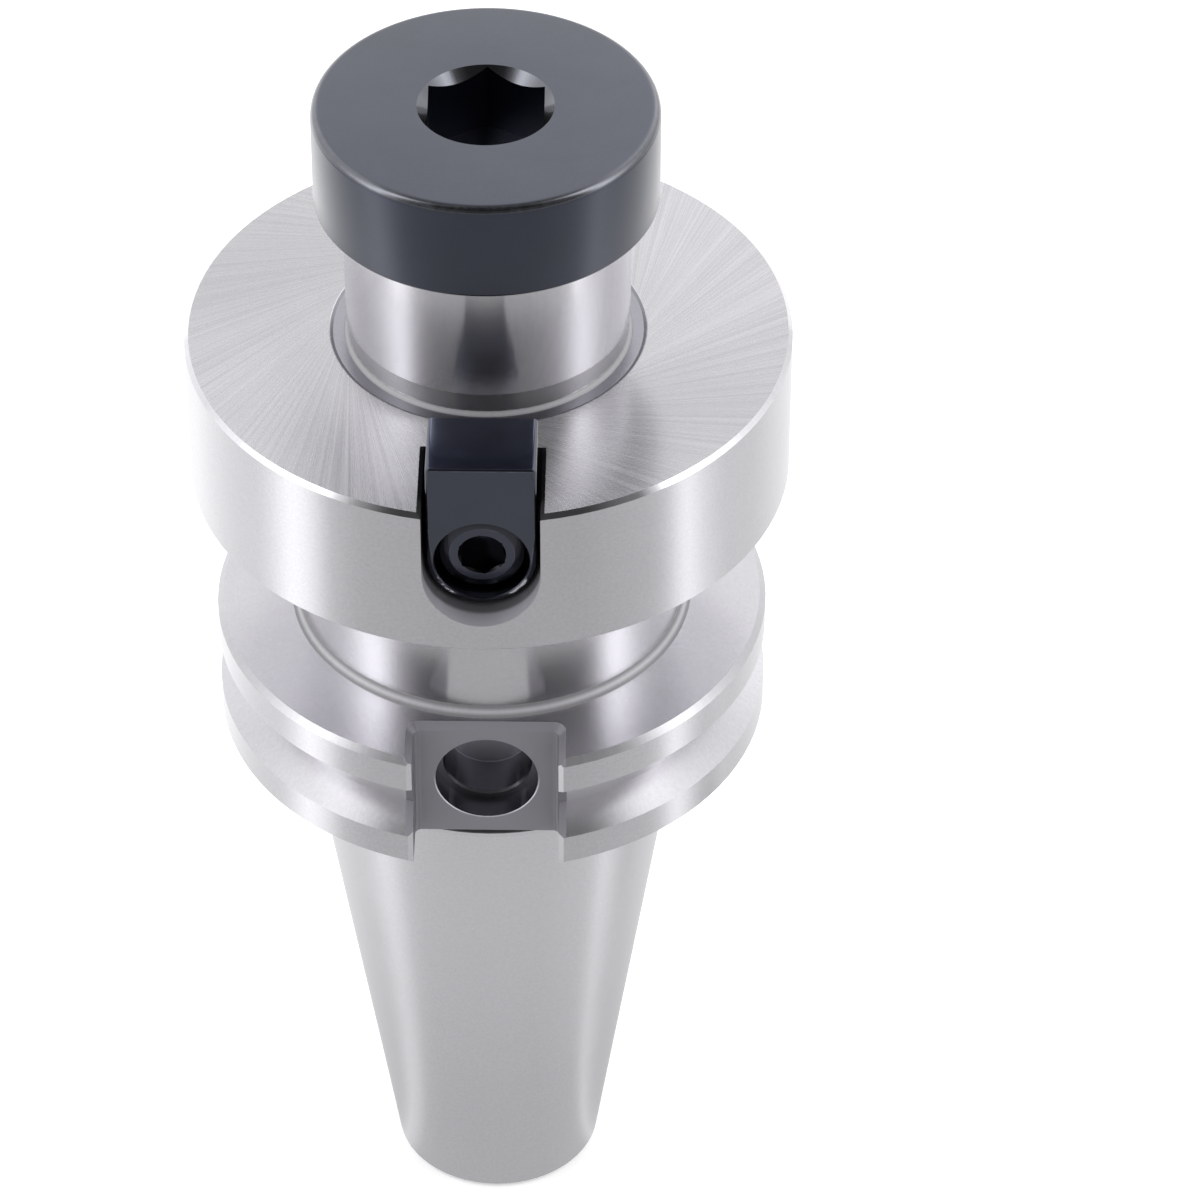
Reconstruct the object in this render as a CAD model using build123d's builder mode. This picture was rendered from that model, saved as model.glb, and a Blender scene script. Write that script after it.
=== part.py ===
"""Shell mill arbor with a 7/24 steep taper shank.

The taper seats in the machine spindle and carries a grooved flange with two drive slots.
Above the flange a neck holds the round seat for the cutter: a flat face, a ground pilot,
two bolted drive keys and a wide-headed lock screw that clamps the cutter on the pilot.

Millimetres. The axis is Z, towards the cutter, and the gauge line of the taper is z = 0.
The drive slots and the drive keys lie on the Y axis, one of each at the front (-Y).
"""

import os
from math import hypot, radians, tan

from build123d import *

# Steep taper shank
GAUGE_DIAMETER = 44.45
TAPER_PER_LENGTH = 7 / 24
TAPER_LENGTH = 68.25
TAPER_RIM_Z = 0.8
TAPER_END_CHAMFER = 0.6
RELIEF_DIAMETER = 43.4

# Retention knob bore in the small end
KNOB_PILOT_DIAMETER = 16.4
KNOB_PILOT_DEPTH = 5.0
KNOB_THREAD_DIAMETER = 13.9
KNOB_THREAD_DEPTH = 30.0
KNOB_MOUTH_CHAMFER = 0.6

# Flange with its V groove
FLANGE_DIAMETER = 63.5
FLANGE_BACK_Z = 3.175
FLANGE_FRONT_Z = 19.05
FLANGE_BACK_CHAMFER = 0.75
FLANGE_FRONT_CHAMFER = 0.7
GROOVE_ROOT_DIAMETER = 56.2
GROOVE_MIDDLE_Z = 11.13
GROOVE_WIDTH = 7.04
GROOVE_ANGLE = 60.0

# Drive slots across the flange, and the round pocket in the floor of the front one
DRIVE_SLOT_WIDTH = 16.5
FRONT_SLOT_FLOOR = 24.4
REAR_SLOT_FLOOR = 22.6
DRIVE_SLOT_CORNER_RADIUS = 0.8
DRIVE_SLOT_FRONT_CHAMFER = 0.8
DRIVE_SLOT_RIM_CHAMFER = 0.6
POCKET_DIAMETER = 9.7
POCKET_DEPTH = 8.2
POCKET_MOUTH_DIAMETER = 11.7
POCKET_MOUTH_DEPTH = 3.0
POCKET_MOUTH_CHAMFER = 0.25

# Neck between the flange and the cutter seat
NECK_DIAMETER = 44.2
NECK_FOOT_CHAMFER = 1.0

# Cutter seat
SEAT_DIAMETER = 68.0
SEAT_BACK_Z = 38.4
SEAT_FACE_Z = 57.15
SEAT_BEVEL = 0.5
RECESS_DIAMETER = 35.6
RECESS_DEPTH = 0.2
RECESS_BEVEL_WIDTH = 0.45

# Pilot
PILOT_DIAMETER = 31.75
PILOT_HEIGHT = 18.5
PILOT_END_CHAMFER = 0.5
UNDERCUT_DIAMETER = 31.24
UNDERCUT_HEIGHT = 2.75
UNDERCUT_FOOT_CHAMFER = 0.5

# Lock screw
LOCK_HEAD_DIAMETER = 38.1
LOCK_HEAD_HEIGHT = 11.75
LOCK_HEAD_FRONT_CHAMFER = 0.6
LOCK_HEAD_BACK_CHAMFER = 0.4
LOCK_THREAD_DIAMETER = 15.875
LOCK_SHANK_LENGTH = 25.4
LOCK_RELIEF_DIAMETER = 13.6
LOCK_RELIEF_LENGTH = 2.5
LOCK_END_CHAMFER = 1.2
LOCK_HEX_ACROSS_FLATS = 12.7
LOCK_HEX_TURN = 30.0
LOCK_HEX_DEPTH = 8.0
LOCK_COUNTERSINK_DIAMETER = 15.0
LOCK_BORE_DEPTH = 31.0
LOCK_BORE_CHAMFER = 0.9

# Drive keys and their slots in the cutter seat
KEY_WIDTH = 12.0
KEY_THICKNESS = 9.15
KEY_INSET_FROM_RIM = 3.35
KEY_HEIGHT_ABOVE_SEAT = 4.15
KEY_AXIS_Z = 48.55
KEY_TOP_ROUND = 0.7
KEY_OUTER_EDGE_CHAMFER = 0.3
KEY_INNER_EDGE_CHAMFER = 0.2
KEY_SIDE_GAP = 0.45
KEY_SLOT_CHAMFER = 0.45
KEY_COUNTERBORE_DIAMETER = 10.36
KEY_CLEARANCE_DIAMETER = 6.8

# Socket head screws that hold the keys
SCREW_DIAMETER = 6.35
SCREW_LENGTH = 9.525
SCREW_HEAD_DIAMETER = 9.525
SCREW_HEAD_HEIGHT = 6.35
SCREW_HEAD_BEVEL_WIDTH = 1.2
SCREW_HEAD_BEVEL_HEIGHT = 0.4
SCREW_HEAD_SINK = 1.17
SCREW_HEX_ACROSS_FLATS = 4.76
SCREW_HEX_TURN = 36.0
SCREW_HEX_DEPTH = 3.2
SCREW_HEX_CHAMFER = 0.25
SCREW_END_CHAMFER = 0.6
SCREW_HOLE_SPARE = 1.0

# Fits
THREAD_CLEARANCE = 0.05
DRILL_POINT_ANGLE = 118.0

# Worked out from the sizes above
gauge_radius = GAUGE_DIAMETER / 2
taper_rim_radius = gauge_radius + TAPER_RIM_Z * TAPER_PER_LENGTH / 2
taper_end_z = -TAPER_LENGTH
taper_end_radius = gauge_radius - TAPER_LENGTH * TAPER_PER_LENGTH / 2
taper_end_rim_radius = taper_end_radius + TAPER_END_CHAMFER * TAPER_PER_LENGTH / 2
relief_radius = RELIEF_DIAMETER / 2
flange_radius = FLANGE_DIAMETER / 2
groove_root_radius = GROOVE_ROOT_DIAMETER / 2
groove_half_width = GROOVE_WIDTH / 2
groove_flank_height = (flange_radius - groove_root_radius) * tan(radians(GROOVE_ANGLE / 2))
neck_radius = NECK_DIAMETER / 2
seat_radius = SEAT_DIAMETER / 2
recess_radius = RECESS_DIAMETER / 2
recess_z = SEAT_FACE_Z - RECESS_DEPTH
pilot_radius = PILOT_DIAMETER / 2
pilot_end_z = SEAT_FACE_Z + PILOT_HEIGHT
undercut_radius = UNDERCUT_DIAMETER / 2
undercut_top_z = SEAT_FACE_Z + UNDERCUT_HEIGHT
lock_top_z = pilot_end_z + LOCK_HEAD_HEIGHT
lock_bore_radius = LOCK_THREAD_DIAMETER / 2 + THREAD_CLEARANCE
key_top_z = SEAT_FACE_Z + KEY_HEIGHT_ABOVE_SEAT
key_outer_y = seat_radius - KEY_INSET_FROM_RIM
key_slot_floor = key_outer_y - KEY_THICKNESS
key_slot_width = KEY_WIDTH + 2 * KEY_SIDE_GAP
screw_seat_y = key_outer_y - SCREW_HEAD_SINK - SCREW_HEAD_HEIGHT
screw_hole_radius = SCREW_DIAMETER / 2 + THREAD_CLEARANCE
screw_hole_depth = SCREW_LENGTH - (screw_seat_y - key_slot_floor) + SCREW_HOLE_SPARE
drill_point_slope = tan(radians(DRILL_POINT_ANGLE / 2))


def side_plane(side, distance, height):
    """A plane that faces away from the axis, on the Y axis: side is -1 in front, 1 behind."""
    return Plane(origin=(0, side * distance, height), x_dir=(-side, 0, 0), z_dir=(0, side, 0))


def u_outline(width, height):
    """Face with a half round foot about the origin and straight sides up to a flat top."""
    Circle(width / 2)
    Rectangle(width, height, align=(Align.CENTER, Align.MIN))


def drilled_point(radius):
    """Cone that a drill leaves under a blind hole, cut from the current locations down."""
    depth = radius / drill_point_slope
    Cone(0, radius, depth, align=(Align.CENTER, Align.CENTER, Align.MAX), mode=Mode.SUBTRACT)


os.makedirs("parts", exist_ok=True)

# Arbor body, turned in one piece and then milled
with BuildPart() as arbor_body:
    with BuildSketch(Plane.XZ):
        with BuildLine():
            Polyline(
                (0, taper_end_z),
                (taper_end_radius - TAPER_END_CHAMFER, taper_end_z),
                (taper_end_rim_radius, taper_end_z + TAPER_END_CHAMFER),
                (taper_rim_radius, TAPER_RIM_Z),
                (relief_radius, TAPER_RIM_Z + taper_rim_radius - relief_radius),
                (relief_radius, FLANGE_BACK_Z),
                (flange_radius - FLANGE_BACK_CHAMFER, FLANGE_BACK_Z),
                (flange_radius, FLANGE_BACK_Z + FLANGE_BACK_CHAMFER),
                (flange_radius, GROOVE_MIDDLE_Z - groove_half_width),
                (groove_root_radius, GROOVE_MIDDLE_Z - groove_half_width + groove_flank_height),
                (groove_root_radius, GROOVE_MIDDLE_Z + groove_half_width - groove_flank_height),
                (flange_radius, GROOVE_MIDDLE_Z + groove_half_width),
                (flange_radius, FLANGE_FRONT_Z - FLANGE_FRONT_CHAMFER),
                (flange_radius - FLANGE_FRONT_CHAMFER, FLANGE_FRONT_Z),
                (neck_radius + NECK_FOOT_CHAMFER, FLANGE_FRONT_Z),
                (neck_radius, FLANGE_FRONT_Z + NECK_FOOT_CHAMFER),
                (neck_radius, SEAT_BACK_Z),
                (seat_radius - SEAT_BEVEL, SEAT_BACK_Z),
                (seat_radius, SEAT_BACK_Z + SEAT_BEVEL),
                (seat_radius, SEAT_FACE_Z - SEAT_BEVEL),
                (seat_radius - SEAT_BEVEL, SEAT_FACE_Z),
                (recess_radius, SEAT_FACE_Z),
                (recess_radius - RECESS_BEVEL_WIDTH, recess_z),
                (undercut_radius + UNDERCUT_FOOT_CHAMFER, recess_z),
                (undercut_radius, recess_z + UNDERCUT_FOOT_CHAMFER),
                (undercut_radius, undercut_top_z),
                (pilot_radius, undercut_top_z),
                (pilot_radius, pilot_end_z - PILOT_END_CHAMFER),
                (pilot_radius - PILOT_END_CHAMFER, pilot_end_z),
                (0, pilot_end_z),
                close=True,
            )
        make_face()
    revolve(axis=Axis.Z)

    # Drive slots, unequal in depth as the pocket lightens the front side
    for side, slot_floor, floor_chamfer in (
        (-1, FRONT_SLOT_FLOOR, DRIVE_SLOT_FRONT_CHAMFER),
        (1, REAR_SLOT_FLOOR, 0),
    ):
        outward = Align.MIN if side > 0 else Align.MAX
        with BuildSketch(Plane.XY.offset(FLANGE_BACK_Z)) as slot:
            with Locations((0, side * slot_floor)):
                Rectangle(DRIVE_SLOT_WIDTH, flange_radius, align=(Align.CENTER, outward))
            fillet(slot.vertices().group_by(SortBy.DISTANCE)[0], DRIVE_SLOT_CORNER_RADIUS)
        extrude(amount=FLANGE_FRONT_Z + NECK_FOOT_CHAMFER - FLANGE_BACK_Z, mode=Mode.SUBTRACT)
        with BuildSketch(Plane.XY.offset(FLANGE_FRONT_Z)) as slot_mouth:
            with Locations((0, side * (slot_floor - floor_chamfer))):
                mouth_width = DRIVE_SLOT_WIDTH + 2 * DRIVE_SLOT_FRONT_CHAMFER
                Rectangle(mouth_width, flange_radius, align=(Align.CENTER, outward))
            near_corners = slot_mouth.vertices().group_by(SortBy.DISTANCE)[0]
            fillet(near_corners, DRIVE_SLOT_CORNER_RADIUS + DRIVE_SLOT_FRONT_CHAMFER)
        extrude(amount=-DRIVE_SLOT_FRONT_CHAMFER, taper=45, mode=Mode.SUBTRACT)
    wall_edges = arbor_body.edges().filter_by(Axis.Z).filter_by(
        lambda e: abs(hypot(e.center().X, e.center().Y) - flange_radius) < 0.01
    )
    chamfer(wall_edges, DRIVE_SLOT_RIM_CHAMFER)

    # Round pocket in the front drive slot
    with BuildSketch(side_plane(-1, FRONT_SLOT_FLOOR, GROOVE_MIDDLE_Z)):
        Circle(POCKET_DIAMETER / 2)
    extrude(amount=-POCKET_DEPTH, mode=Mode.SUBTRACT)
    with BuildSketch(side_plane(-1, FRONT_SLOT_FLOOR, GROOVE_MIDDLE_Z)):
        Circle(POCKET_MOUTH_DIAMETER / 2)
    extrude(amount=-POCKET_MOUTH_DEPTH, mode=Mode.SUBTRACT)
    pocket_rims = arbor_body.edges().filter_by(GeomType.CIRCLE)
    pocket_rim = pocket_rims.sort_by_distance((0, -FRONT_SLOT_FLOOR, GROOVE_MIDDLE_Z))[0]
    chamfer(pocket_rim, POCKET_MOUTH_CHAMFER)

    # Key slots with a half round foot, open to the seat face and to the rim
    for side in (-1, 1):
        with BuildSketch(side_plane(side, key_slot_floor, KEY_AXIS_Z)):
            u_outline(key_slot_width, key_top_z - KEY_AXIS_Z)
        extrude(amount=seat_radius, mode=Mode.SUBTRACT)
        with BuildSketch(Plane.XY.offset(SEAT_FACE_Z)):
            with Locations((0, side * key_slot_floor)):
                Rectangle(
                    key_slot_width + 2 * KEY_SLOT_CHAMFER,
                    seat_radius,
                    align=(Align.CENTER, Align.MIN if side > 0 else Align.MAX),
                )
        extrude(amount=-KEY_SLOT_CHAMFER, taper=45, mode=Mode.SUBTRACT)
        with BuildSketch(side_plane(side, key_slot_floor, KEY_AXIS_Z)):
            Circle(screw_hole_radius)
        extrude(amount=-screw_hole_depth, mode=Mode.SUBTRACT)

    # Threaded bore for the lock screw
    with BuildSketch(Plane.XY.offset(pilot_end_z)):
        Circle(lock_bore_radius)
    extrude(amount=-LOCK_BORE_DEPTH, mode=Mode.SUBTRACT)
    with Locations(Plane.XY.offset(pilot_end_z - LOCK_BORE_DEPTH)):
        drilled_point(lock_bore_radius)
    pilot_rims = arbor_body.faces().filter_by(Axis.Z).sort_by(Axis.Z)[-1].inner_wires()
    chamfer(pilot_rims.edges(), LOCK_BORE_CHAMFER)

    # Threaded bore for the retention knob, seen from the small end
    small_end = Plane(origin=(0, 0, taper_end_z), x_dir=(1, 0, 0), z_dir=(0, 0, -1))
    with BuildSketch(small_end):
        Circle(KNOB_PILOT_DIAMETER / 2)
    extrude(amount=-KNOB_PILOT_DEPTH, mode=Mode.SUBTRACT)
    with BuildSketch(small_end):
        Circle(KNOB_THREAD_DIAMETER / 2)
    extrude(amount=-KNOB_THREAD_DEPTH, mode=Mode.SUBTRACT)
    with Locations(small_end.offset(-KNOB_THREAD_DEPTH)):
        drilled_point(KNOB_THREAD_DIAMETER / 2)
    knob_rims = arbor_body.faces().filter_by(Axis.Z).sort_by(Axis.Z)[0].inner_wires()
    chamfer(knob_rims.edges(), KNOB_MOUTH_CHAMFER)

arbor_body.part.label = "arbor_body"
export_step(arbor_body.part, "parts/arbor_body.step")

# Lock screw, a wide head that overhangs the pilot and a threaded shank down its bore
with BuildPart() as lock_screw:
    with BuildSketch(Plane.XZ):
        with BuildLine():
            Polyline(
                (0, pilot_end_z - LOCK_SHANK_LENGTH),
                (LOCK_THREAD_DIAMETER / 2 - LOCK_END_CHAMFER, pilot_end_z - LOCK_SHANK_LENGTH),
                (LOCK_THREAD_DIAMETER / 2, pilot_end_z - LOCK_SHANK_LENGTH + LOCK_END_CHAMFER),
                (LOCK_THREAD_DIAMETER / 2, pilot_end_z - LOCK_RELIEF_LENGTH),
                (LOCK_RELIEF_DIAMETER / 2, pilot_end_z - LOCK_RELIEF_LENGTH),
                (LOCK_RELIEF_DIAMETER / 2, pilot_end_z),
                (LOCK_HEAD_DIAMETER / 2 - LOCK_HEAD_BACK_CHAMFER, pilot_end_z),
                (LOCK_HEAD_DIAMETER / 2, pilot_end_z + LOCK_HEAD_BACK_CHAMFER),
                (LOCK_HEAD_DIAMETER / 2, lock_top_z - LOCK_HEAD_FRONT_CHAMFER),
                (LOCK_HEAD_DIAMETER / 2 - LOCK_HEAD_FRONT_CHAMFER, lock_top_z),
                (0, lock_top_z),
                close=True,
            )
        make_face()
    revolve(axis=Axis.Z)
    with BuildSketch(Plane.XY.offset(lock_top_z)):
        RegularPolygon(LOCK_HEX_ACROSS_FLATS / 2, 6, major_radius=False, rotation=LOCK_HEX_TURN)
    extrude(amount=-LOCK_HEX_DEPTH, mode=Mode.SUBTRACT)
    with BuildSketch(Plane.XY.offset(lock_top_z)):
        Circle(LOCK_COUNTERSINK_DIAMETER / 2)
    extrude(amount=-(LOCK_COUNTERSINK_DIAMETER - LOCK_HEX_ACROSS_FLATS) / 2, taper=45, mode=Mode.SUBTRACT)

lock_screw.part.label = "lock_screw"
export_step(lock_screw.part, "parts/lock_screw.step")

# Drive keys, flat bars with a half round foot, bolted to the floors of the key slots
for side, key_name in ((-1, "drive_key_front"), (1, "drive_key_rear")):
    with BuildPart() as drive_key:
        with BuildSketch(side_plane(side, key_slot_floor, KEY_AXIS_Z)) as key_outline:
            u_outline(KEY_WIDTH, key_top_z - KEY_AXIS_Z)
            fillet(key_outline.vertices().group_by(Axis.Z)[-1], KEY_TOP_ROUND)
        extrude(amount=KEY_THICKNESS)
        faces_outwards = drive_key.faces().sort_by_distance((0, 0, KEY_AXIS_Z))
        chamfer(faces_outwards[0].edges(), KEY_INNER_EDGE_CHAMFER)
        outer_face = drive_key.faces().sort_by(Axis.Y)[-1 if side > 0 else 0]
        chamfer(outer_face.edges(), KEY_OUTER_EDGE_CHAMFER)
        with BuildSketch(side_plane(side, key_outer_y, KEY_AXIS_Z)):
            Circle(KEY_COUNTERBORE_DIAMETER / 2)
        extrude(amount=-(key_outer_y - screw_seat_y), mode=Mode.SUBTRACT)
        with BuildSketch(side_plane(side, key_outer_y, KEY_AXIS_Z)):
            Circle(KEY_CLEARANCE_DIAMETER / 2)
        extrude(amount=-KEY_THICKNESS, mode=Mode.SUBTRACT)
    drive_key.part.label = key_name
    export_step(drive_key.part, f"parts/{key_name}.step")

# Socket head screws of the two keys
with BuildPart() as key_screws:
    for side in (-1, 1):
        with BuildSketch(side_plane(side, screw_seat_y, KEY_AXIS_Z)):
            Circle(SCREW_HEAD_DIAMETER / 2)
        extrude(amount=SCREW_HEAD_HEIGHT)
        head_edges = key_screws.edges().filter_by(GeomType.CIRCLE)
        head_rim = head_edges.filter_by_position(
            Axis.Y, side * (screw_seat_y + SCREW_HEAD_HEIGHT), side * (screw_seat_y + SCREW_HEAD_HEIGHT)
        )
        chamfer(head_rim, SCREW_HEAD_BEVEL_HEIGHT, SCREW_HEAD_BEVEL_WIDTH)
        with BuildSketch(side_plane(side, screw_seat_y, KEY_AXIS_Z)):
            Circle(SCREW_DIAMETER / 2)
        extrude(amount=-SCREW_LENGTH)
        shank_ends = key_screws.edges().filter_by(GeomType.CIRCLE)
        shank_end = shank_ends.sort_by_distance((0, side * (screw_seat_y - SCREW_LENGTH), KEY_AXIS_Z))[0]
        chamfer(shank_end, SCREW_END_CHAMFER)
        with BuildSketch(side_plane(side, screw_seat_y + SCREW_HEAD_HEIGHT, KEY_AXIS_Z)):
            RegularPolygon(SCREW_HEX_ACROSS_FLATS / 2, 6, major_radius=False, rotation=SCREW_HEX_TURN)
        extrude(amount=-SCREW_HEX_DEPTH, mode=Mode.SUBTRACT)
        with BuildSketch(side_plane(side, screw_seat_y + SCREW_HEAD_HEIGHT, KEY_AXIS_Z)):
            Circle(SCREW_HEX_ACROSS_FLATS / 2 + SCREW_HEX_CHAMFER)
        extrude(amount=-SCREW_HEX_CHAMFER, taper=45, mode=Mode.SUBTRACT)

key_screws.part.label = "key_screws"
export_step(key_screws.part, "parts/key_screws.step")
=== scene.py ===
"""Looks of a shell mill arbor: ground steel body, blued drive keys and a black lock screw.

Metres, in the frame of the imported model: +Z along the axis to the cutter, -Y to the front key.
"""

import logging
import math
from collections.abc import Sequence
from dataclasses import dataclass
from enum import Enum
from typing import Union

import bmesh
import bpy
from mathutils import Matrix, Vector


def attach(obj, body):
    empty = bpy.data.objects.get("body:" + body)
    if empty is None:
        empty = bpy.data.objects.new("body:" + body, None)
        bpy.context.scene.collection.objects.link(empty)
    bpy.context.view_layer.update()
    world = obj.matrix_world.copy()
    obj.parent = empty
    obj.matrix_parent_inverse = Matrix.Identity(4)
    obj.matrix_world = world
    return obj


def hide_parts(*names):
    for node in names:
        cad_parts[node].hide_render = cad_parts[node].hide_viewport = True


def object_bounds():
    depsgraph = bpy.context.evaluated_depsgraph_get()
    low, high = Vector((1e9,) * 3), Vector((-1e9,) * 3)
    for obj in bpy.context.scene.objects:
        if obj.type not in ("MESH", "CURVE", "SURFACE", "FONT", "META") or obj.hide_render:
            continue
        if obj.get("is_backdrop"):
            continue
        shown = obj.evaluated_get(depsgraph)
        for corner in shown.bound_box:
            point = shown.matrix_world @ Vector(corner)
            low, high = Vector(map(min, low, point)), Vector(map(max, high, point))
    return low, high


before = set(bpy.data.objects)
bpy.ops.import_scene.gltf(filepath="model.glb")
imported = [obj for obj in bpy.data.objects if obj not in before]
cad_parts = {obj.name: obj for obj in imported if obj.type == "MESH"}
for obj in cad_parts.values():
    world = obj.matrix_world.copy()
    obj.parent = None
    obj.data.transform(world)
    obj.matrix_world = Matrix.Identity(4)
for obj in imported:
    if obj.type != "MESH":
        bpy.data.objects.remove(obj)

MM = 0.001
LOG = logging.getLogger("shell_mill_arbor")

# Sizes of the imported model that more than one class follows
SEAT_Z = 57.15 * MM
PILOT_END_Z = 75.65 * MM
KEY_AXIS_Z = 48.55 * MM
KEY_SCREW_SEAT = 23.13 * MM
THREAD_PITCH = 2.309 * MM

Socket = bpy.types.NodeSocket
Node = bpy.types.Node
Tree = bpy.types.NodeTree
Value = Union[float, Socket]
Triple = tuple[float, float, float]
Input = Union[Value, Sequence[float]]
Span = tuple[float, float]
EdgePoint = tuple[float, float, float]
Outline = Sequence[tuple[Vector, Vector]]

FLOAT = "NodeSocketFloat"
VECTOR = "NodeSocketVector"
GEOMETRY = "NodeSocketGeometry"
MATERIAL = "NodeSocketMaterial"
UP = (0.0, 0.0, 1.0)


class Body(Enum):
    """The bodies that pieces ride on."""

    ARBOR = "arbor"
    LOCK_SCREW = "lock_screw"


class Slot(Enum):
    """The record's material slots."""

    GROUND_STEEL = "ground_steel"
    BLACK_STEEL = "black_steel"
    KEY_STEEL = "key_steel"
    SCREW_STEEL = "screw_steel"


class Side(Enum):
    """The two sides that carry a drive key, as the sign of Y."""

    FRONT = -1
    REAR = 1


class Graph:
    """Adds nodes to one node tree and links them."""

    def __init__(self, tree: Tree) -> None:
        """Takes the tree that the nodes go into."""
        self.tree = tree

    def add(self, kind: str, **settings: object) -> Node:
        """Adds a node.

        Args:
            kind: The node's type name.
            settings: Properties to set on it.

        Returns:
            The new node.
        """
        node = self.tree.nodes.new(kind)
        for name, value in settings.items():
            setattr(node, name, value)
        return node

    def put(self, socket: Socket, value: Input) -> None:
        """Links a socket to an input, or writes a constant into it.

        Args:
            socket: The input.
            value: The socket or the constant.
        """
        if isinstance(value, Socket):
            self.tree.links.new(value, socket)
        else:
            socket.default_value = value

    def fill(self, node: Node, *values: Input, **named: Input) -> Node:
        """Puts values into a node's inputs.

        Args:
            node: The node.
            values: For its first inputs, in order.
            named: For its inputs by name, with spaces written as underscores.

        Returns:
            The node.
        """
        for socket, value in zip(node.inputs, values):
            self.put(socket, value)
        for name, value in named.items():
            self.put(node.inputs[name.replace("_", " ")], value)
        return node

    def math(self, operation: str, *values: Value, clamp: bool = False) -> Socket:
        """Works out one number from numbers or sockets; clamp keeps it from 0 to 1."""
        return self.fill(self.add("ShaderNodeMath", operation=operation, use_clamp=clamp), *values).outputs[0]

    def product(self, first: Value, *others: Value) -> Value:
        """Multiplies masks or numbers.

        Args:
            first: The first factor.
            others: The other factors.

        Returns:
            The product.
        """
        for other in others:
            first = self.math("MULTIPLY", first, other)
        return first

    def between(self, value: Value, low: float, high: float) -> Socket:
        """A mask of the values between two limits."""
        above = self.math("GREATER_THAN", value, low)
        return self.math("MULTIPLY", above, self.math("LESS_THAN", value, high))

    def vector(self, operation: str, *values: Input) -> Socket:
        """Works out one vector, or the number that a length gives."""
        node = self.fill(self.add("ShaderNodeVectorMath", operation=operation), *values)
        return node.outputs["Value" if operation == "LENGTH" else "Vector"]

    def combine(self, x: Value, y: Value, z: Value) -> Socket:
        """Joins three numbers into a vector."""
        return self.fill(self.add("ShaderNodeCombineXYZ"), x, y, z).outputs[0]

    def separate(self, vector: Socket) -> list[Socket]:
        """Splits a vector into its three numbers."""
        return list(self.fill(self.add("ShaderNodeSeparateXYZ"), vector).outputs)

    def step(self, value: Value, low: float, high: float, start: float = 0.0, end: float = 1.0) -> Socket:
        """Turns smoothly from one number to another.

        Args:
            value: What the change follows.
            low: Where it starts.
            high: Where it ends.
            start: The number before low.
            end: The number after high.

        Returns:
            The result's socket.
        """
        node = self.add("ShaderNodeMapRange", interpolation_type="SMOOTHSTEP")
        self.fill(node, Value=value, From_Min=low, From_Max=high, To_Min=start, To_Max=end)
        return node.outputs["Result"]

    def _mix(self, kind: str, start: int, values: Sequence[Input]) -> Node:
        """Adds a Mix node.

        Args:
            kind: FLOAT or VECTOR.
            start: Number of that kind's first input.
            values: The factor and the two values.

        Returns:
            The node.
        """
        node = self.add("ShaderNodeMix", data_type=kind)
        for index, value in zip((0, start, start + 1), values):
            self.put(node.inputs[index], value)
        return node

    def blend(self, factor: Value, first: Value, second: Value) -> Socket:
        """Mixes two numbers by a factor."""
        return self._mix("FLOAT", 2, (factor, first, second)).outputs[0]

    def blend_vector(self, factor: Value, first: Input, second: Input) -> Socket:
        """Mixes two vectors or colours by a factor."""
        return self._mix("VECTOR", 4, (factor, first, second)).outputs[1]

    def tint(self, colour: Input, shade: Value) -> Socket:
        """Multiplies a colour by a shade."""
        return self.fill(self.add("ShaderNodeVectorMath", operation="SCALE"), colour, Scale=shade).outputs[0]

    def noise(self, vector: Value, scale: float, detail: float, roughness: float) -> Socket:
        """Noise from 0 to 1 over a vector.

        Args:
            vector: Where it is looked up.
            scale: Patches per unit of the vector.
            detail: Number of finer layers.
            roughness: Strength of the finer layers.

        Returns:
            The noise's socket.
        """
        node = self.add("ShaderNodeTexNoise")
        self.fill(node, Vector=vector, Scale=scale, Detail=detail, Roughness=roughness)
        return node.outputs["Fac"]

    def ramp(self, value: Value, stops: Sequence[Span], top: float) -> Socket:
        """Looks a number up between stops.

        Args:
            value: Where to look, as a share of the full circle.
            stops: Each stop's angle, from -180 to 180 degrees, and its level.
            top: A level that no stop is above.

        Returns:
            The level's socket.
        """
        node = self.add("ShaderNodeValToRGB")
        elements = node.color_ramp.elements
        for angle, _ in stops[1:-1]:
            elements.new((angle + 180) / 360)
        for element, (_, level) in zip(elements, stops):
            element.color = (level / top, level / top, level / top, 1.0)
        self.put(node.inputs[0], value)
        return self.math("MULTIPLY", node.outputs[0], top)

    def group(self, tree: Tree, **values: Input) -> Node:
        """Places a node group and fills its inputs, with spaces in their names as underscores."""
        return self.fill(self.add("ShaderNodeGroup", node_tree=tree), **values)

    def foot_angle(self, x: Value, y: Value, radius: Value, circle: Value) -> Socket:
        """Direction from the axis to where a point's grinding line touches a circle round the axis."""
        share = self.math("DIVIDE", circle, radius, clamp=True)
        return self.math("SUBTRACT", self.math("ARCTAN2", y, x), self.math("ARCCOSINE", share))


def new_group(
    name: str, kind: str, inputs: dict[str, str], outputs: dict[str, str]
) -> tuple[Graph, dict[str, Socket], Node]:
    """Starts a node group.

    Args:
        name: The group's name.
        kind: ShaderNodeTree or GeometryNodeTree.
        inputs: Socket type by input name.
        outputs: Socket type by output name.

    Returns:
        The group's graph, its inputs by name and its output node.
    """
    tree = bpy.data.node_groups.new(name, kind)
    for way, sockets in (("INPUT", inputs), ("OUTPUT", outputs)):
        for label, socket in sockets.items():
            tree.interface.new_socket(label, in_out=way, socket_type=socket)
    graph = Graph(tree)
    start = graph.add("NodeGroupInput")
    return graph, {label: start.outputs[label] for label in inputs}, graph.add("NodeGroupOutput")


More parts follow.
